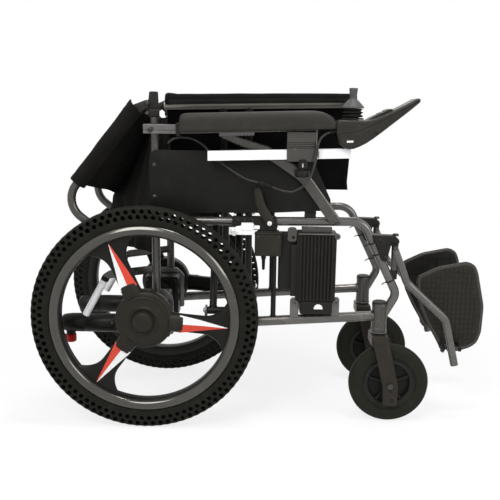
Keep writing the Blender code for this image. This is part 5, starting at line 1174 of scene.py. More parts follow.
def joystick_case():
    """Two-part moulded case, its raised button panel, and the socket and screw on its flank."""
    y = -BAR_Y
    points = mm(2, 474, 703, 484, 699.8, 495, 700.5, 508.5, 705.5, 524, 713.5, 540, 724.3, 559.7, 739.5,
        587, 761.5, 615, 783.8, 639, 804, 644, 809, 645.2, 813, 644, 816.5, 640.5, 818.5, 634, 817.5, 624,
        811.5, 612, 805, 583, 790.5, 564, 781.5, 545, 773.5, 532, 769.5, 520, 767.5, 490, 767.5, 466, 768,
        459, 766.8, 455.2, 763.5, 452.8, 756, 453.8, 740, 457.5, 725, 463, 711.5)
    rings = []
    for wide, inset in mm(2, -33, 7.5, -32.8, 5, -31.8, 2.8, -30, 1.2, -27, 0.5, 27, 0.5, 30, 1.2, 31.8,
            2.8, 32.8, 5, 33, 7.5):
        rings.append(case_ring(points, y, wide, inset))
    piece = Piece("joystick_housing")
    piece.add(lofted(rings), STICK_BLACK)
    seam = mm(2, 456, 736.7, 488.1, 739.5, 510, 745, 534.1, 755.3, 560, 768, 586.3, 782.5, 637, 811)
    for edge in (-1, 1):
        line = [Vector((x, y + edge * 0.0322, z)) for x, z in seam]
        piece.add(sweep(line, 0.0013, 8), PANEL_BLACK)
    slope = atan2(0.7905 - 0.7735, 0.583 - 0.545)
    along = Vector((cos(slope), 0, sin(slope)))
    normal = Vector((-sin(slope), 0, cos(slope)))
    first = Vector((0.545, y, 0.7735))
    raised = []
    for distance, rise in mm(2, -22, 0, -20, 3, -8, 4.4, 30, 5.2, 40, 4.4, 43, 0):
        spot = first + along * distance + normal * rise
        raised.append((spot.x, spot.z))
    raised += [(0.58, 0.783), (0.53, 0.764)]
    piece.add(slab(raised, "Y", y - 0.0235, y + 0.0235, 0.0016), MOULDED_BLACK)
    piece.add(turned(mm(2, 20.5, -2, 26.2, -2, 26.2, 0.6, 24, 2, 21, 2.2), (BOOT_X, y, BOOT_Z), (0, 0, 1),
        48), MOULDED_BLACK)
    piece.add(slab(eased_outline(mm(2, 478.5, 715.6, 493.5, 716, 493.5, 720.5, 478.5, 720), 0.0014), "Y",
        y - 0.0336, y - 0.03, 0.0005), STAR_WHITE)
    piece.add(screw((0.5462, y - 0.0325, 0.7385), (0, -1, 0), 0.004, 0.0012), SOFT_RUBBER)
    piece.made("black_plastic", "control_arm", ["joystick_case"])
    for name, distance, across in (("power", 0.012, 0.0), ("speed", 0.03, 0.013), ("horn", 0.03, -0.013)):
        spot = first + along * distance + Vector((0, across, 0)) + normal * 0.005
        cap = Piece(f"{name}_key_cap")
        cap.add(turned(mm(2, 6.2, -2, 6.2, 1, 5.6, 1.8, 3, 1.6, 0, 1.3, 0, -2), spot, normal, 28), KEY_GREY)
        cap.made("black_plastic", f"{name}_key", [f"{name}_button"])

    centre = (BOOT_X, y, BOOT_Z)
    boot = Piece("joystick_bellows")
    boot.add(turned(mm(2, 4.8, -8, 14, -8, 15, 3, 22.5, 4, 23.8, 5.5, 23.8, 7.2, 22.5, 8.4, 19.5, 9.2, 19,
        10.6, 20, 11.8, 23.2, 12.8, 24, 14.2, 23.2, 15.6, 19.8, 16.6, 18.8, 18, 19.8, 19.2, 22.2, 20.2,
        22.4, 21.6, 20.5, 22.8, 18, 23.6, 10, 23.8, 8.5, 3, 4.8, 1), centre, (0, 0, 1), 48), SOFT_RUBBER)
    boot.made("soft_rubber", "gimbal", ["joystick_boot"])
    lever = Piece("joystick_knob")
    lever.add(turned(mm(2, 0, 1.6, 4, 1.6, 4, 24.8, 24.5, 24, 26.2, 24.4, 26.4, 25.8, 25.5, 27.6, 22.2,
        31.4, 18, 36.2, 13.8, 40.4, 10.4, 43.4, 8.6, 45.2, 8.2, 47.6, 8.4, 52, 9, 59, 9.8, 66, 10.1, 69,
        9.7, 70, 7, 70.4, 0, 70.2), centre, (0, 0, 1), 48), STICK_GREY)
    lever.made("black_plastic", "stick", ["joystick_lever"])


def sling_point(s, share, drop, roll):
    """A place on half of the seat cloth: share runs forward, roll over the rail, drop to the fold."""
    x = mix(0.048, 0.5078, share)
    wave = noise.noise(Vector((share * 9, roll * 2, s * 3.1)))
    if drop is None:
        angle = radians(mix(mix(-20, -10, share ** 0.8), 175, roll))
        bulge = 1 + 0.05 * sin(9 * pi * share + roll * 5) + 0.05 * wave
        ear = 0.0026 * (max(0.0, 1 - abs(share - 0.03) / 0.03) + 0.6 * max(0.0,
            1 - abs(share - 0.985) / 0.02))
        y = SEAT_ROLL_R * bulge * cos(angle)
        z = 0.0085 + (0.0172 + ear) * (1 + 0.04 * wave) * sin(angle)
        clear = max(1.0, 0.0129 / max(0.001, sqrt(y * y + z * z)))
        return (x, s * (PIVOT_Y + y * clear), 0.796 + seat_rise(x) * (1 - 0.35 * share) + z * clear)
    top = Vector((PIVOT_Y - SEAT_ROLL_R, SEAT_ROLL_Z))
    low = Vector((FOLD_Y, 0.5835))
    fold = 0.003 * sin(pi * drop) * sin(5 * pi * share + 2 * drop)
    crease = 0.0022 * sin(pi * drop) * noise.noise(Vector((share * 16, drop * 5, 4 + s)))
    belly = 0.004 * sin(pi * drop)
    rise = seat_rise(x) * (1 - 0.35 * share)
    flare = 0.004 * max(0.0, 1 - (1 - share) / 0.02) * max(0.0, 1 - (1 - drop) / 0.1)
    return (x + flare, s * (mix(top.x, low.x, drop) - belly - fold - crease), mix(top.y + rise, low.y, drop)
        + 0.0016 * sin(11 * share) * drop * (1 - drop))


def seat_sling(side, s):
    """Half of the seat cloth: rolled over its rail and hanging to the fold line in the middle."""
    columns = 96
    rows = []
    for index in range(columns + 1):
        share = index / columns
        row = [sling_point(s, share, None, step / 14) for step in range(15)]
        rows.append(row + [sling_point(s, share, step / 34, 1.0) for step in range(1, 35)])
    piece = Piece(f"seat_cloth_{side}").add(cloth(rows, 0.0022), NYLON)
    sheet = piece.made("black_cloth", None, [f"seat_sling_{side}"], angle=60)

    trims = Piece(f"seat_edging_{side}")
    hem = []
    for index in range(columns + 1):
        row = []
        for step in range(5):
            place = Vector(sling_point(s, index / columns, None, step / 4 * 0.16))
            out = Vector((0, place.y - s * PIVOT_Y, place.z - SEAT_ROLL_Z)).normalized()
            row.append(place + out * 0.0016)
        hem.append(row)
    trims.add(cloth(hem, 0.001), HEM_TAPE)
    for share in (0.012, 0.985):
        strip = []
        for number in (-1, 0, 1):
            row = []
            for step in range(15):
                place = Vector(sling_point(s, share + number * 0.01, None, step / 14))
                out = Vector((0, place.y - s * PIVOT_Y, place.z - SEAT_ROLL_Z)).normalized()
                row.append(place + out * (0.0017 if number else 0.0022))
            for step in range(1, 35):
                place = Vector(sling_point(s, share + number * 0.01, step / 34, 1.0))
                row.append(place + Vector((0, s * (0.0017 if number else 0.0022), 0)))
            strip.append(row)
        trims.add(cloth(strip, 0.001), NYLON)
    edging = trims.made("black_cloth", angle=60)
    for hanging in (sheet, edging):
        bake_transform(hanging)


def lower_back_point(s, share, rise):
    """A place on half of the lower back cloth: share runs post to fold, rise upward."""
    z = mix(0.43, 0.764, rise)
    if z < 0.56:
        apex_x = mix(-0.128, -0.112, (z - 0.43) / 0.13)
    else:
        apex_x = mix(-0.112, 0.004, (z - 0.56) / 0.204)
    start = Vector((POST_X - 0.003, FRAME_Y - POST_R - 0.0004))
    end = Vector((apex_x, FOLD_Y))
    slack = 0.16 * (start.x - end.x) * sin(pi * share)
    fold = 0.0045 * (1 - 0.6 * rise) * sin(pi * share) * sin(7 * pi * share)
    crease = 0.003 * sin(pi * share) * noise.noise(Vector((share * 7, rise * 2.2, 8 + s)))
    return (mix(start.x, end.x, share) - fold - crease, s * (mix(start.y, end.y, share) - slack * 0.4), z)


def lower_back(side, s):
    """Half of the lower back cloth, with its hems."""
    rows = [[lower_back_point(s, step / 60, index / 44) for step in range(61)] for index in range(45)]
    # Lightened back nylon: painted light in the cloth's shade.
    piece = Piece(f"lower_back_cloth_{side}").add(cloth(rows, 0.0022), BACK_NYLON_PAINTED_LIGHT)
    for index in (1, 43):
        hem = [Vector(lower_back_point(s, step / 60, index / 44)) for step in range(61)]
        rows = [[p + Vector((0, 0, dz)) for p in hem] for dz in (-0.006, 0.0, 0.006)]
        piece.add(cloth(rows, 0.0034), BACK_NYLON_PAINTED_LIGHT)
    return piece.made("black_cloth", None, [f"lower_back_{side}"], angle=60)


def upper_back_point(s, share, step):
    """A place on half of the upper back cloth: share runs down, step round to the fold."""
    sag = mix(-0.0345, -0.068, share)
    pucker = noise.noise(Vector((share * 10, step * 0.3, 2 + s)))
    sleeve = 0.0193 + 0.0004 * sin(5 * pi * share) + 0.0005 * pucker
    turn = radians(mix(100, -150, min(step, 1.0)))
    along = mix(0.0235, 0.26, share) - 0.0055 * (1 - share) * sin(turn)
    y, out = FRAME_Y + sleeve * cos(turn), sleeve * sin(turn)
    if step <= 1.0:
        return folded_cane(along, out, s * y)
    across = step - 1.0
    along -= share * share * (0.006 * across + 0.014 * sin(pi * across))
    out += 0.004 * (1 - share) * across
    fold = 0.003 * sin(pi * across) * sin(4 * pi * across + 3 * share) - 0.014 * sin(pi * across)
    crease = 0.003 * sin(pi * across) * noise.noise(Vector((across * 5, share * 2.5, 6 + s)))
    return folded_cane(along, mix(out, sag, sin(across * pi / 2)) + fold + crease,
        s * mix(y, FOLD_Y, across))


def upper_back(side, s):
    """Half of the upper back cloth, with its sleeve round the back tube and its hems."""
    steps = [k / 20 for k in range(21)] + [1.0 + k / 34 for k in range(1, 35)]
    rows = [[upper_back_point(s, index / 40, step) for step in steps] for index in range(41)]
    # Lightened back nylon: painted light in the cloth's shade.
    piece = Piece(f"upper_back_cloth_{side}").add(cloth(rows, 0.0022), BACK_NYLON_PAINTED_LIGHT)
    for low, high in ((0.0, 0.055), (0.1, 0.12), (0.955, 1.0)):
        hem = [[upper_back_point(s, share, step) for step in steps] for share in (low, (low + high) / 2,
            high)]
        piece.add(cloth(hem, 0.0036 if high - low > 0.03 else 0.003), BACK_NYLON_PAINTED_LIGHT)
    return piece.made("black_cloth", None, [f"upper_back_{side}"], angle=60)


def back_cloths():
    """The four halves of the back cloth, each turning smoothly from its holder to the fold."""
    shift = Vector((AXLE_X, 0, 0))
    right_low, left_low = lower_back("right", -1), lower_back("left", 1)
    right_up, left_up = upper_back("right", -1), upper_back("left", 1)
    post = Vector((POST_X, FRAME_Y, 0.65)) - shift
    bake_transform(left_low)
    post.y = -FRAME_Y
    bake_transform(right_low)
    cane = folded_cane(0.15, 0, FRAME_Y) - shift
    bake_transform(left_up)
    cane.y = -FRAME_Y
    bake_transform(right_up)


TYRE_PROFILE = mm(2, 235, 16.5, 242, 18.4, 249, 19.2, 255.5, 20.2, 262.5, 20.5, 268.5, 20.3, 274.5, 19.5,
    277, 17, 279, 13, 280, 7)


def tyre_half_width(radius):
    """Half of the tyre's width at a distance from the axle."""
    for (low, narrow), (high, wide) in zip(TYRE_PROFILE, TYRE_PROFILE[1:]):
        if radius <= high:
            return mix(narrow, wide, (radius - low) / (high - low))
    return TYRE_PROFILE[-1][1]


def honeycomb_tyre(s):
    """Airless tyre with two staggered rows of holes through it, a smooth bead and a notched tread edge."""
    cells = 88
    quarters = cells * 4
    shell = bmesh.new()
    known = {}

    def spot(quarter, radius, depth):
        angle = 2 * pi * quarter / quarters
        return (radius * cos(angle), s * WHEEL_Y + depth, WHEEL_R + radius * sin(angle))

    def corner(quarter, radius, face):
        key = (quarter % quarters, round(radius, 6), face)
        if key not in known:
            known[key] = shell.verts.new(spot(quarter, radius, face * tyre_half_width(radius)))
        return known[key]

    for low, middle, high, hole, lead in ((0.249, 0.2555, 0.2625, 0.0059, 0),
            (0.2625, 0.2685, 0.2745, 0.0057, 2)):
        levels = [mix(low, high, k / 4) for k in range(5)]
        for cell in range(cells):
            first = cell * 4 + lead
            edge = [(first + k, low) for k in range(4)] + [(first + 4, levels[k]) for k in range(4)]
            edge += [(first + 4 - k, high) for k in range(4)] + [(first, levels[4 - k]) for k in range(4)]
            centre_angle = 2 * pi * (first + 2) / quarters
            walls = []
            for face in (1, -1):
                ring = []
                for quarter, radius in edge:
                    angle = 2 * pi * quarter / quarters
                    away = Vector(((angle - centre_angle) * middle, radius - middle, 0))
                    away = Vector((away.x / (middle * 4 * pi / quarters), away.y / ((high - low) / 2),
                        0)).normalized()
                    r = middle + hole * away.y
                    a = centre_angle + hole * away.x / middle
                    depth = face * (tyre_half_width(r) - 0.0005)
                    ring.append(shell.verts.new((r * cos(a), s * WHEEL_Y + depth, WHEEL_R + r * sin(a))))
                outer = [corner(quarter, radius, face) for quarter, radius in edge]
                for k in range(16):
                    m = (k + 1) % 16
                    shell.faces.new((outer[k], outer[m], ring[m], ring[k]))
                walls.append(ring)
            for k in range(16):
                m = (k + 1) % 16
                shell.faces.new((walls[0][k], walls[0][m], walls[1][m], walls[1][k]))
    inside = [0.249, 0.2465, 0.243, 0.239, TYRE_BEAD_R]
    for face in (1, -1):
        for low, high in zip(inside, inside[1:]):
            for quarter in range(quarters):
                shell.faces.new((corner(quarter, low, face), corner(quarter + 1, low, face),
                    corner(quarter + 1, high, face), corner(quarter, high, face)))
    for quarter in range(quarters):
        shell.faces.new((corner(quarter, TYRE_BEAD_R, 1), corner(quarter + 1, TYRE_BEAD_R, 1),
            corner(quarter + 1, TYRE_BEAD_R, -1), corner(quarter, TYRE_BEAD_R, -1)))

    tread = {}

    def tread_spot(quarter, station):
        key = (quarter % quarters, station)
        if key in tread:
            return tread[key]
        radius, depth = stations[station]
        if abs(depth) > 0.0195 - 1e-9:
            tread[key] = corner(quarter, TREAD_EDGE_R, 1 if depth > 0 else -1)
            return tread[key]
        if quarter % 4 in (1, 2) and abs(depth) > 0.006:
            radius -= 0.0008
        tread[key] = shell.verts.new(spot(quarter, radius, depth))
        return tread[key]

    half = mm(2, 274.5, 19.5, 277.2, 17.2, 279, 13, 279.9, 7, 280, 6.2)
    stations = half + [(0.28, 0.0)] + [(r, -d) for r, d in reversed(half)]
    for station in range(len(stations) - 1):
        for quarter in range(quarters):
            shell.faces.new((tread_spot(quarter, station), tread_spot(quarter + 1, station),
                tread_spot(quarter + 1, station + 1), tread_spot(quarter, station + 1)))
    return shell


def wheel_place(s, degrees, radius, across, depth):
    """A place on a drive wheel from its angle, radius and distance across."""
    angle = radians(degrees) + across / max(radius, 0.02)
    return (radius * cos(angle), s * (WHEEL_Y + depth), WHEEL_R + radius * sin(angle))


def wheel_spoke(s, degrees):
    """Cast spoke, domed outside and hollowed inside, that flares smoothly into the rim."""
    rings = []
    for number in range(25):
        share = number / 24
        radius = mix(0.058, 0.2125, share)
        wide = 0.046 + 0.01 * max(0.0, 1 - share / 0.25) ** 2
        if share > 0.55:
            wide += 0.094 * ((share - 0.55) / 0.45) ** 2.3
        thick = mix(0.0085, 0.0068, share)
        ring = []
        for across, depth in ((-1.0, -0.35), (-1.0, 0.35), (-0.93, 0.8), (-0.75, 1.0), (-0.3, 1.0),
                (0.3, 1.0), (0.75, 1.0), (0.93, 0.8), (1.0, 0.35), (1.0, -0.35), (0.93, -0.85),
                (0.72, -1.0), (0.55, -0.35), (-0.55, -0.35), (-0.72, -1.0), (-0.93, -0.85)):
            ring.append(wheel_place(s, degrees, radius, across * wide / 2, 0.002 + depth * thick))
        rings.append(ring)
    return lofted(rings)


def star_blade(s, degrees, way):
    """Half of one pointed trim blade, from its ridge to one edge."""
    rings = []
    for number in range(13):
        share = number / 12
        radius = mix(0.09, 0.2055, share)
        half = mix(0.0228, 0.0004, share)
        lift = mix(0.017, 0.0108, min(1.0, share * 2.5))
        ridge = wheel_place(s, degrees, radius, 0, lift + 0.0024 * (1 - share * 0.7))
        edge = wheel_place(s, degrees, radius, way * half, lift - 0.0002)
        under = wheel_place(s, degrees, radius, way * half, lift - 0.0016)
        root = wheel_place(s, degrees, radius, 0, lift - 0.0016)
        rings.append([ridge, edge, under, root])
    return lofted(rings)


def drive_wheel(side, s):
    """Tyre, rim with its grey ring, spokes with their hub and lugs, hub cap and star trim."""
    body = f"drive_{side}"
    centre = (0, s * WHEEL_Y, WHEEL_R)
    axis = (0, s, 0)
    Piece(f"airless_tyre_{side}").add(honeycomb_tyre(s), TYRE_RUBBER).made("tyre_rubber", body,
        [f"drive_tyre_{side}"], angle=32)
    rim = Piece(f"wheel_rim_{side}")
    rim.add(turned(mm(2, 209.6, -16, 211.1, -17, 233.2, -17, 234.7, -16, 234.7, 15, 209.6, 15, 208.6, 14,
        207.6, 4, 207.6, -4, 208.6, -14), centre, axis, 160), CAST_BLACK)
    rim.add(turned(mm(2, 234.7, 13.5, 234.6, 15.5, 234, 17.3, 231, 19.8, 226.2, 22.2, 225, 22.7, 223.6,
        22.8, 220, 22.4, 216, 21.7, 214.7, 21.2, 212.5, 19, 210.6, 16.8, 209.7, 14.8, 209.6, 13, 220, 12),
        centre, axis, 160), RIM_GREY)
    rim.made("wheel_composite", body, [f"drive_wheel_{side}"], angle=50)
    spokes = Piece(f"wheel_spokes_{side}")
    for degrees in BLADE_ANGLES:
        spokes.add(wheel_spoke(s, degrees), SPOKE_BLACK)
    spokes.add(turned(mm(2, 0, -29, 36, -29, 45, -28.5, 65.5, -23.5, 69, -20, 71.2, -10, 71.2, 13, 70.4, 15,
        68, 16.6, 64, 18, 59, 19, 0, 19), centre, axis, 96), HUB_BLACK)
    spokes.add(bar((0, s * 0.1278, WHEEL_R), (0, s * 0.177, WHEEL_R), 0.009, 32), PLATED)
    for degrees in BLADE_ANGLES:
        lug = []
        for radius, half, lift in mm(3, 62, 23.8, 19.5, 70, 24, 22.2, 88, 24, 22.4, 94.5, 23.6, 21.4, 97.5,
                22.8, 16.5):
            ring = []
            for across, rise in ((-1.0, 0.0), (-0.92, 0.55), (-0.65, 0.9), (0.0, 1.0), (0.65, 0.9),
                    (0.92, 0.55), (1.0, 0.0)):
                ring.append(wheel_place(s, degrees, radius, across * half, mix(0.004, lift, rise)))
            lug.append(ring)
        spokes.add(lofted(lug), HUB_BLACK)
    spokes.made("wheel_composite", body, [f"drive_wheel_{side}"], angle=40)
    cap = Piece(f"hub_cap_{side}")
    cap.add(turned(mm(2, 0, 19, 60, 19, 60.2, 21.4, 59.2, 22.4, 56, 22.8, 54.5, 22.2, 53.5, 22.2, 47, 23.8,
        40, 25, 37, 26.2, 36.2, 28.4, 34.8, 29.4, 32.5, 29.2, 29, 27.2, 25.5, 26.2, 24, 26.6, 23.6, 35, 23,
        37.5, 21.2, 38.8, 12, 39.2, 0, 39), centre, axis, 96), HUB_BLACK)
    cap.made("wheel_composite", body, [f"wheel_star_{side}"], angle=40)
    star = Piece(f"star_trim_{side}")
    for degrees in BLADE_ANGLES:
        star.add(star_blade(s, degrees, -s), STAR_WHITE)
        star.add(star_blade(s, degrees, s), STAR_RED)
    star.made("red_trim", body, [f"wheel_star_{side}"], angle=25)


def gear_motor(side, s):
    """Geared motor: gearbox on the axle plate, round motor to the rear with its brake cover and fins."""
    y = s * 0.093
    z = 0.234
    outer = s * 0.127
    body = f"{side}_frame"
    piece = Piece(f"motor_gearbox_{side}")
    piece.add(plain_box((-0.044, outer, z - 0.028), (0.052, s * 0.062, 0.322), 0.009, 4), MOTOR_BLACK)
    for x in (-0.034, 0.042):
        for height in (z - 0.018, 0.312):
            piece.add(screw((x, s * 0.062, height), (0, -s, 0), 0.0042, 0.0026), DARK_STEEL)
    for number in range(4):
        height = z + 0.02 + number * 0.016
        piece.add(plain_box((-0.0455, s * 0.068, height - 0.002), (0.0535, s * 0.12, height + 0.002), 0.001,
            2), MOTOR_BLACK)
    piece.add(turned(mm(2, 0, 0, 30, 0, 30, 4, 26, 7, 0, 8), (0, s * 0.0625, WHEEL_R), (0, -s, 0), 48),
        MOTOR_BLACK)
    piece.made("motor_black", body, [f"gear_motor_{side}"])
    motor = Piece(f"motor_{side}")
    motor.add(turned(mm(2, 0, -34, 31, -34, 30.5, -45, 27.5, -65, 24.8, -75, 23.8, -78, 23.8, -81, 24.5,
        -82, 24.5, -170, 23.8, -171, 23.8, -174, 24.5, -175, 24.3, -208, 22.8, -224, 20.5, -232, 16, -236,
        0, -236), (0, y, z), (1, 0, 0), 64), MOTOR_BLACK)
    for angle in (0.6, 2.1, 3.7, 5.2):
        spot = Vector((-0.2335, y + 0.015 * cos(angle), z + 0.015 * sin(angle)))
        motor.add(screw(spot, (-1, 0, 0), 0.0026, 0.0016), DARK_STEEL)
    motor.add(turned(mm(2, 0, -31, 10.5, -31, 12, -29, 12, -18, 0, -18), (-0.214, y, z), (0, 0, 1), 32),
        MOTOR_BLACK)
    motor.add(bar((-0.214, y, z - 0.046), (-0.214, y, z - 0.02), 0.005, 20), PLATED)
    motor.add(screw((-0.1, y + s * 0.0235, z + 0.006), (0, s, 0.25), 0.0036, 0.0016), DARK_STEEL)
    motor.made("motor_black", body, [f"gear_motor_{side}"])
    lever = Piece(f"clutch_handle_{side}")
    top = z - 0.0314
    lever.add(turned([(0.0054, top), (0.0118, top), (0.0135, top - 0.0018), (0.0135, top - 0.018),
        (0.0118, top - 0.0205), (0.0054, top - 0.0205)], (-0.214, y, 0), (0, 0, 1), 40), CLUTCH_RED)
    grip = eased_outline([(-0.246, y - 0.005), (-0.246, y + 0.005), (-0.222, y + 0.0065),
        (-0.222, y - 0.0065)], 0.004)
    lever.add(slab(grip, "Z", top - 0.017, top - 0.002, 0.0018), CLUTCH_RED)
    lever.made("red_trim", f"clutch_{side}", [f"clutch_lever_{side}"])


def caster(side, s):
    """Fork with its stem, and the small wheel with its tyre."""
    y = s * FRAME_Y
    body = f"caster_{side}"
    crown_top = 0.2406
    fork = Piece(f"caster_fork_arms_{side}")
    fork.add(bar((HOUSING_X, y, crown_top - 0.01), (HOUSING_X, y, 0.303), 0.008, 28), PLATED)
    fork.add(turned(mm(2, 0, -4, 20, -4, 21.2, -3, 21.2, -0.8, 20, 0, 0, 0), (HOUSING_X, y, crown_top),
        (0, 0, 1), 40), BRACKET_GREY)
    fork.add(turned(mm(2, 0, -7.5, 19, -7.5, 19, -4, 0, -4), (HOUSING_X, y, crown_top), (0, 0, 1), 40),
        MOULDED_BLACK)
    fork.add(plain_box((HOUSING_X - 0.021, y - 0.033, crown_top - 0.034),
        (HOUSING_X + 0.021, y + 0.033, crown_top - 0.007), 0.004, 3), FORK_BLACK)
    outline = [(HOUSING_X - 0.0205, crown_top - 0.01), (CASTER_X - 0.0195, CASTER_R),
        (CASTER_X - 0.0165, 0.05), (CASTER_X + 0.0205, 0.049), (CASTER_X + 0.0205, CASTER_R),
        (HOUSING_X + 0.0205, crown_top - 0.01)]
    for edge in (-1, 1):
        inner = y + edge * 0.0265
        outer = inner + edge * 0.006
        fork.add(slab(eased_outline(outline, 0.006), "Y", inner, outer, 0.0016), FORK_BLACK)
        fork.add(slab(arc((CASTER_X, CASTER_R), 0.0088, 6), "Y", outer, outer + edge * 0.0036, 0.001),
            DARK_STEEL)
        for z in (0.093, 0.068):
            x = CASTER_X + (0.0013 if z > 0.09 else 0.006)
            fork.add(turned(mm(2, 2.8, 0.4, 4.4, 0.4, 4.4, 0, 2.8, 0), (x, outer, z - 0.004), (0, edge, 0),
                20), PANEL_BLACK)
    fork.add(bar((CASTER_X, y - 0.0355, CASTER_R), (CASTER_X, y + 0.0355, CASTER_R), 0.006, 24), DARK_STEEL)
    fork.made("black_cast", body, [f"caster_fork_{side}"])

    roller = f"caster_roller_{side}"
    axle = (CASTER_X, y, CASTER_R)
    tyre = Piece(f"caster_tread_{side}")
    tyre.add(turned(mm(2, 66.4, -13, 69, -14.2, 69.8, -14.2, 70.8, -16, 80, -16.8, 90, -17, 96.5, -15, 100,
        -11.5, 101.8, -6, 102.2, 0, 101.8, 6, 100, 11.5, 96.5, 15, 90, 17, 80, 16.8, 70.8, 16, 69.8, 14.2,
        69, 14.2, 66.4, 13), axle, (0, 1, 0), 96), CASTER_RUBBER)
    tyre.made("tyre_rubber", roller, [f"caster_tyre_{side}"], angle=50)
    wheel = Piece(f"caster_hub_{side}")
    wheel.add(turned(mm(2, 52, -10, 54, -13, 57, -14, 60, -12.8, 62, -14, 65.5, -14, 66, -13, 66, 13, 65.5,
        14, 62, 14, 60, 12.8, 57, 14, 54, 13, 52, 10), axle, (0, 1, 0), 80), CAST_BLACK)
    wheel.add(turned(mm(2, 15, -1.4, 53.5, -1.4, 53.5, 1.4, 15, 1.4), axle, (0, 1, 0), 64), PANEL_BLACK)
    wheel.add(turned(mm(2, 6.4, -25.9, 12, -25.9, 13, -25, 15, -15, 17, -10, 17, 10, 15, 15, 13, 25, 12,
        25.9, 6.4, 25.9), axle, (0, 1, 0), 40), CAST_BLACK)
    for number in range(5):
        angle = 2 * pi * number / 5 + 0.35
        out = Vector((cos(angle), 0, sin(angle)))
        side_way = Vector((-sin(angle), 0, cos(angle)))
        rings = []
        for radius, wide, deep in mm(3, 14, 6.2, 10, 24, 3.4, 9.2, 40, 2.8, 8.6, 49, 4, 9, 54, 6.6, 9.6):
            ring = []
            for across, depth in ((-1, -0.8), (-0.6, -1), (0.6, -1), (1, -0.8), (1, 0.8), (0.6, 1),
                    (-0.6, 1), (-1, 0.8)):
                ring.append(Vector(axle) + out * radius + side_way * across * wide +
                    Vector((0, depth * deep, 0)))
            rings.append(ring)
        wheel.add(lofted(rings), CAST_BLACK)
    wheel.made("black_cast", roller, [f"caster_wheel_{side}"])


def footrest(side, s):
    """Hanger tube with its sleeve, and the ridged footplate with its rim and ribs."""
    y = s * FRAME_Y
    hinge_y = s * FOOT_HINGE_Y
    hanger = Piece(f"hanger_tube_{side}")
    path = eased([(HANGER_X, y, 0.45), (0.652, y, 0.366), (0.755, y, 0.272), (0.7855, y, 0.151)],
        (0.035, 0.045), 14)
    # The hanger tube takes the lightened rail grey: painted highlight.
    hanger.add(sweep(path, 0.01, 32), RAIL_GREY_PAINTED_HIGHLIGHT)
    way = (path[-1] - path[-2]).normalized()
    hanger.add(turned(mm(2, 0, 0.2, 8.3, 0.2, 8.3, -4, 0, -4), path[-1], way, 28), PANEL_BLACK)
    hanger.add(bar((HANGER_X, y, 0.3984), (HANGER_X, y, 0.4611), 0.0085, 32, edge=0.0008), FRAME_GREY)
    hanger.add(bar((HANGER_X, y, 0.3884), (HANGER_X, y, 0.4711), 0.0045, 20), PLATED)
    hanger.add(plain_box((0.7675, y, 0.1835), (0.7845, hinge_y, 0.1965), 0.002, 2), FRAME_GREY)
    hanger.add(bar((0.7545, hinge_y, 0.19), (0.806, hinge_y, 0.19), 0.0045, 24, edge=0.0008), DARK_STEEL)
    hanger.made("frame_grey", f"hanger_{side}", [f"footrest_hanger_{side}"])

    outline = mm(2, 688, 371, 742, 397.5, 815, 412.5, 835, 404, 844, 385, 865, 295, 863.5, 224, 854, 196,
        836.9, 182.2, 805.2, 171.9, 797.5, 170.8, 797.5, 184, 770, 184, 770, 166.9, 766.3, 166.4, 742.7,
        209.7, 722.8, 242.3, 699.2, 290.4, 692, 320)
    soft = eased_outline(outline, 0.01, 3)
    inner, outer = s * 0.086, s * 0.098
    plate = Piece(f"footplate_panel_{side}")
    plate.add(slab(soft, "Y", mix(inner, outer, 0.15), mix(inner, outer, 0.85), 0.001), TREAD_PLATE)
    border = []
    for before, at, after in corners_of(soft):
        ahead = ((at - before).normalized() + (after - at).normalized()).normalized()
        normal = Vector((ahead.y, -ahead.x, 0))
        ring = []
        for out, depth in ((0.0, 0.3), (0.0006, 0.75), (0.0024, 0.97), (0.0048, 1.0), (0.0072, 0.9),
                (0.0084, 0.8), (0.0084, 0.2), (0.0072, 0.05), (0.003, 0.0), (0.0006, 0.15)):
            spot = at + normal * out
            ring.append((spot.x, mix(inner, outer, depth), spot.y))
        border.append(ring)
    rim = lofted(border + border[:1], caps=False)
    bmesh.ops.remove_doubles(rim, verts=rim.verts, dist=1e-7)
    plate.add(rim, PLATE_RIM)
    sunk = mix(inner, outer, 0.85)
    for row in range(16):
        for column in range(13):
            x = 0.706 + column * 0.0115
            z = 0.185 + row * 0.0135
            if not inside_outline(soft, x, z, 0.013):
                continue
            tile = [(x - 0.0044, z - 0.0052), (x + 0.0044, z - 0.0052), (x + 0.0044, z + 0.0052),
                (x - 0.0044, z + 0.0052)]
            plate.add(slab(tile, "Y", sunk - s * 0.0004, sunk + s * 0.0012, 0.0005), TREAD_PLATE)
    # The underside and its ribs take the darker panel black: painted shade, darker than the tread face.
    under = mix(inner, outer, 0.15)
    plate.add(slab(soft, "Y", under - s * 0.0003, mix(inner, outer, 0.5), 0.0005), PANEL_BLACK)
    for row in range(5):
        z = 0.215 + row * 0.042
        span = [x / 1000 for x in range(700, 860, 4) if inside_outline(soft, x / 1000, z, 0.01)]
        plate.add(plain_box((span[0], under, z - 0.0015), (span[-1], inner, z + 0.0015), 0.0004, 1),
            PANEL_BLACK)
    for x in (0.745, 0.785, 0.822):
        span = [z / 1000 for z in range(180, 410, 4) if inside_outline(soft, x, z / 1000, 0.01)]
        plate.add(plain_box((x - 0.0015, under, span[0]), (x + 0.0015, inner, span[-1]), 0.0004, 1),
            PANEL_BLACK)
    for low_x, high_x in ((0.756, 0.762), (0.7985, 0.8045)):
        ear = [(s * 0.092, 0.181), *arc((hinge_y, 0.19), 0.009, 14, -pi / 2, -pi / 2 + s * pi),
            (s * 0.092, 0.199)]
        plate.add(slab(ear, "X", low_x, high_x, 0.0008), MOULDED_BLACK)
    plate.made("black_plastic", f"footplate_body_{side}", [f"footplate_{side}"])


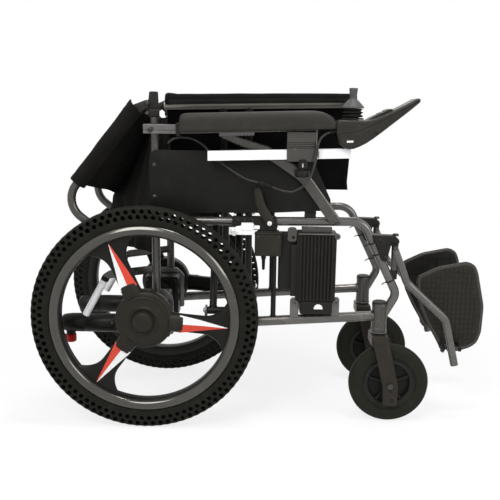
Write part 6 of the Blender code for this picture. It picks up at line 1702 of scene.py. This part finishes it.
def inside_outline(outline, x, z, margin):
    """Whether a place lies inside an outline by at least margin."""
    inside = False
    nearest = 1.0
    at = Vector((x, z))
    for (ax, az), (bx, bz) in zip(outline, outline[1:] + outline[:1]):
        if (az > z) != (bz > z) and x < (bx - ax) * (z - az) / (bz - az) + ax:
            inside = not inside
        a, b = Vector((ax, az)), Vector((bx, bz))
        share = max(0.0, min(1.0, (at - a).dot(b - a) / max((b - a).length_squared, 1e-12)))
        nearest = min(nearest, (at - a.lerp(b, share)).length)
    return inside and nearest > margin


def brake(side, s):
    """Parking brake: its mount's plate and curved handle, and the link with the shoe."""
    inner = s * 0.1659
    lever = Piece(f"brake_handle_{side}")
    outline = eased_outline(mm(2, 291, 508, 315, 508, 313, 530, 293, 552, 281, 552), 0.004)
    lever.add(slab(outline, "Y", inner, inner + s * 0.005, 0.001), MOULDED_BLACK)
    rings = []
    line = [Vector(p) for p in mm(3, 306, 0, 515, 301.5, 0, 526.5, 294, 0, 538, 285, 0, 553, 278.5, 0, 569,
        275.5, 0, 585, 274, 0, 596, 273.5, 0, 603)]
    widths = (0.0105, 0.012, 0.0126, 0.0124, 0.0118, 0.0112, 0.0104, 0.007)
    for place, wide, way in zip(line, widths, ways_along(line)):
        across = Vector((-way.z, 0, way.x))
        ring = []
        for step in range(20):
            angle = 2 * pi * step / 20
            ring.append(place + across * (wide * cos(angle)) +
                Vector((0, inner + s * (0.0092 + 0.0068 * sin(angle)), 0)))
        rings.append(ring)
    lever.add(lofted(rings), LEVER_OLIVE)
    lever.add(turned(mm(2, 0, 2.2, 4, 2, 5.6, 0.8, 5.8, 0, 0, 0), (0.3035, inner + s * 0.0158, 0.518),
        (0, s, 0), 28), ZINC_WHITE)
    lever.made("lever_olive", f"brake_{side}", [f"brake_lever_{side}"])

    shoe = Piece(f"brake_link_{side}")
    pad_x, pad_z = 0.218, 0.4985
    start = Vector((0.266, s * 0.172, 0.512))
    shoe.add(bar(start, (pad_x + 0.004, s * 0.172, pad_z + 0.006), 0.0045, 24), ZINC_WHITE)
    link = eased_outline(mm(2, 205, 488.5, 266, 488.5, 265.5, 508, 205, 506), 0.002)
    shoe.add(slab(link, "Y", s * 0.1662, s * 0.1782, 0.0014), BRIGHT_BAR)
    shoe.add(plain_box((0.235, s * 0.1662, 0.5), (0.264, s * 0.181, 0.518), 0.0018, 2), BRIGHT_BAR)
    shoe.add(plain_box((0.263, s * 0.1668, 0.502), (0.28, s * 0.1712, 0.511), 0.0012, 2), BRIGHT_BAR)
    shoe.add(turned(mm(2, 0, 0, 5.5, 0, 6.5, 1, 6.5, 39, 6, 40, 0, 40), (pad_x, s * 0.174, pad_z),
        (0, s, 0), 28), PLATED)
    for number in range(12):
        at = 0.006 + number * 0.0028
        shoe.add(turned([(0.006, at), (0.0069, at + 0.0007), (0.006, at + 0.0014)],
            (pad_x, s * 0.174, pad_z), (0, s, 0), 24), PLATED)
    shoe.made("plated", f"brake_pad_{side}", [f"brake_shoe_{side}"])


def battery():
    """Finned battery case on its clips between the rails of the right side frame."""
    s = -1
    low_x, high_x = 0.372, 0.471
    low_z = lower_rail_z(high_x) + LOWER_RAIL_R + 0.0006
    high_z = 0.4926
    inner, outer = s * 0.108, s * 0.16
    hanger_top = 0.5056
    case = Piece("battery_housing")
    case.add(plain_box((low_x, inner, low_z + 0.03), (high_x, outer, high_z), 0.004, 3), BATTERY_ALLOY)
    case.add(plain_box((low_x + 0.011, inner, low_z), (high_x - 0.007, outer + s * 0.004, low_z + 0.033),
        0.005, 3), MOULDED_BLACK)
    case.add(plain_box((low_x + 0.004, inner - s * 0.003, high_z - 0.004),
        (high_x - 0.004, outer + s * 0.006, high_z - 0.0005), 0.001, 2), BATTERY_EDGE)
    case.add(plain_box((low_x + 0.012, s * 0.135, high_z - 0.002), (high_x - 0.012, s * 0.15, hanger_top),
        0.001, 1), FRAME_GREY)
    case.add(plain_box((0.328, inner + s * 0.003, 0.345), (low_x + 0.003, outer - s * 0.012,
        high_z - 0.004), 0.004, 3), MOULDED_BLACK)
    case.add(plain_box((low_x - 0.0135, s * 0.1544, low_z + 0.045),
        (low_x + 0.003, s * 0.1584, high_z - 0.03), 0.002, 2), MOULDED_BLACK)
    fins = 10
    pitch = (high_x - low_x - 0.012) / fins
    for number in range(fins):
        x = low_x + 0.006 + pitch * (number + 0.5)
        for way, face in ((1, outer), (-1, inner)):
            reach = s * 0.007 * way if way > 0 else -s * 0.004
            case.add(plain_box((x - pitch * 0.27, face - s * 0.002 * way, low_z + 0.036),
                (x + pitch * 0.27, face + reach, high_z - 0.006), 0.001, 2), BATTERY_ALLOY)
    dome = [(0.418, low_z + 0.015), (0.44, low_z + 0.015), *arc((0.429, low_z + 0.0165), 0.0112, 14, 0.0,
        pi)]
    case.add(slab(dome, "Y", outer + s * 0.0035, outer + s * 0.0085, 0.0012), STAR_WHITE)
    case.made("battery_alloy", "right_frame", ["battery_case"])

    clips = Piece("battery_clips")
    strip = eased_outline(mm(2, 349, 470, 371.5, 470, 371.5, 506, 349, 506), 0.008)
    clips.add(slab(strip, "Y", s * 0.1545, s * 0.1585, 0.0008), FRAME_GREY)
    clips.add(turned(mm(2, 0, 1.2, 3.6, 1.2, 4, 0, 0, 0), (0.3632, s * 0.1585, 0.4809), (0, s, 0), 20),
        PANEL_BLACK)
    for x, z in ((high_x + 0.001, 0.484), (low_x - 0.001, 0.3145), (high_x + 0.003, 0.317)):
        clips.add(turned(mm(2, 3.2, 0, 7.5, 0, 7.5, 6, 6.4, 7.5, 3.2, 7.5), (x, s * 0.154, z), (0, s, 0),
            28), BRACKET_GREY)
        clips.add(screw((x, s * 0.16, z), (0, s, 0), 0.0036, 0.002), DARK_STEEL)
    for low, high, top in ((0.359, 0.381, 0.326), (0.463, 0.483, 0.329)):
        tab = [(low, lower_rail_z(low) + 0.008), (high, lower_rail_z(high) + 0.008), (high, top - 0.006),
            (high - 0.004, top), (low + 0.004, top), (low, top - 0.006)]
        clips.add(slab(tab, "Y", s * 0.15, s * 0.1545, 0.0008), BRACKET_GREY)
    clips.made("battery_alloy", "right_frame", ["battery_case"])


def control_box():
    """Power module on the right frame, with its lid line, screws and cable gland."""
    s = -1
    inner = s * (FRAME_Y + UPRIGHT_R + 0.0004)
    outer = inner + s * 0.021
    piece = Piece("power_module")
    piece.add(plain_box((0.268, inner, 0.434), (0.334, outer, 0.4945), 0.005, 4), BOX_BLACK)
    piece.add(plain_box((0.2672, inner + s * 0.001, 0.4885), (0.3348, outer + s * 0.0006, 0.4902), 0.0006,
        1), PANEL_BLACK)
    piece.add(plain_box((0.274, inner, 0.4935), (0.328, outer - s * 0.004, 0.4975), 0.0014, 2), BOX_BLACK)
    for x in (0.276, 0.326):
        piece.add(screw((x, outer, 0.483), (0, s, 0), 0.0028, 0.0012), DARK_STEEL)
    piece.add(turned(mm(2, 0, 0, 6.2, 0, 6.2, -6, 4.5, -10, 3.5, -34, 2.2, -36, 0, -36),
        (0.2905, inner + s * 0.01, 0.4342), (0, 0, 1), 24), SOFT_RUBBER)
    piece.made("black_plastic", "right_frame", ["control_box"])


build_stage()
control_cable()
for side, s in SIDES:
    for make in (frame_tubes, caster_housing, axle_plate, stay_rod, brace_lugs, seat_saddle, brake_mount,
            footrest_bracket, frame_ties, arm_pin, cane_hinge, back_cane, side_panel, armrest_frame,
            seat_sling, drive_wheel, gear_motor, caster, footrest, brake):
        make(side, s)
cross_brace("a", -1, BRACE_A_X)
cross_brace("b", 1, BRACE_B_X)
cross_bolt()
joystick_bar()
joystick_case()
back_cloths()
battery()
control_box()
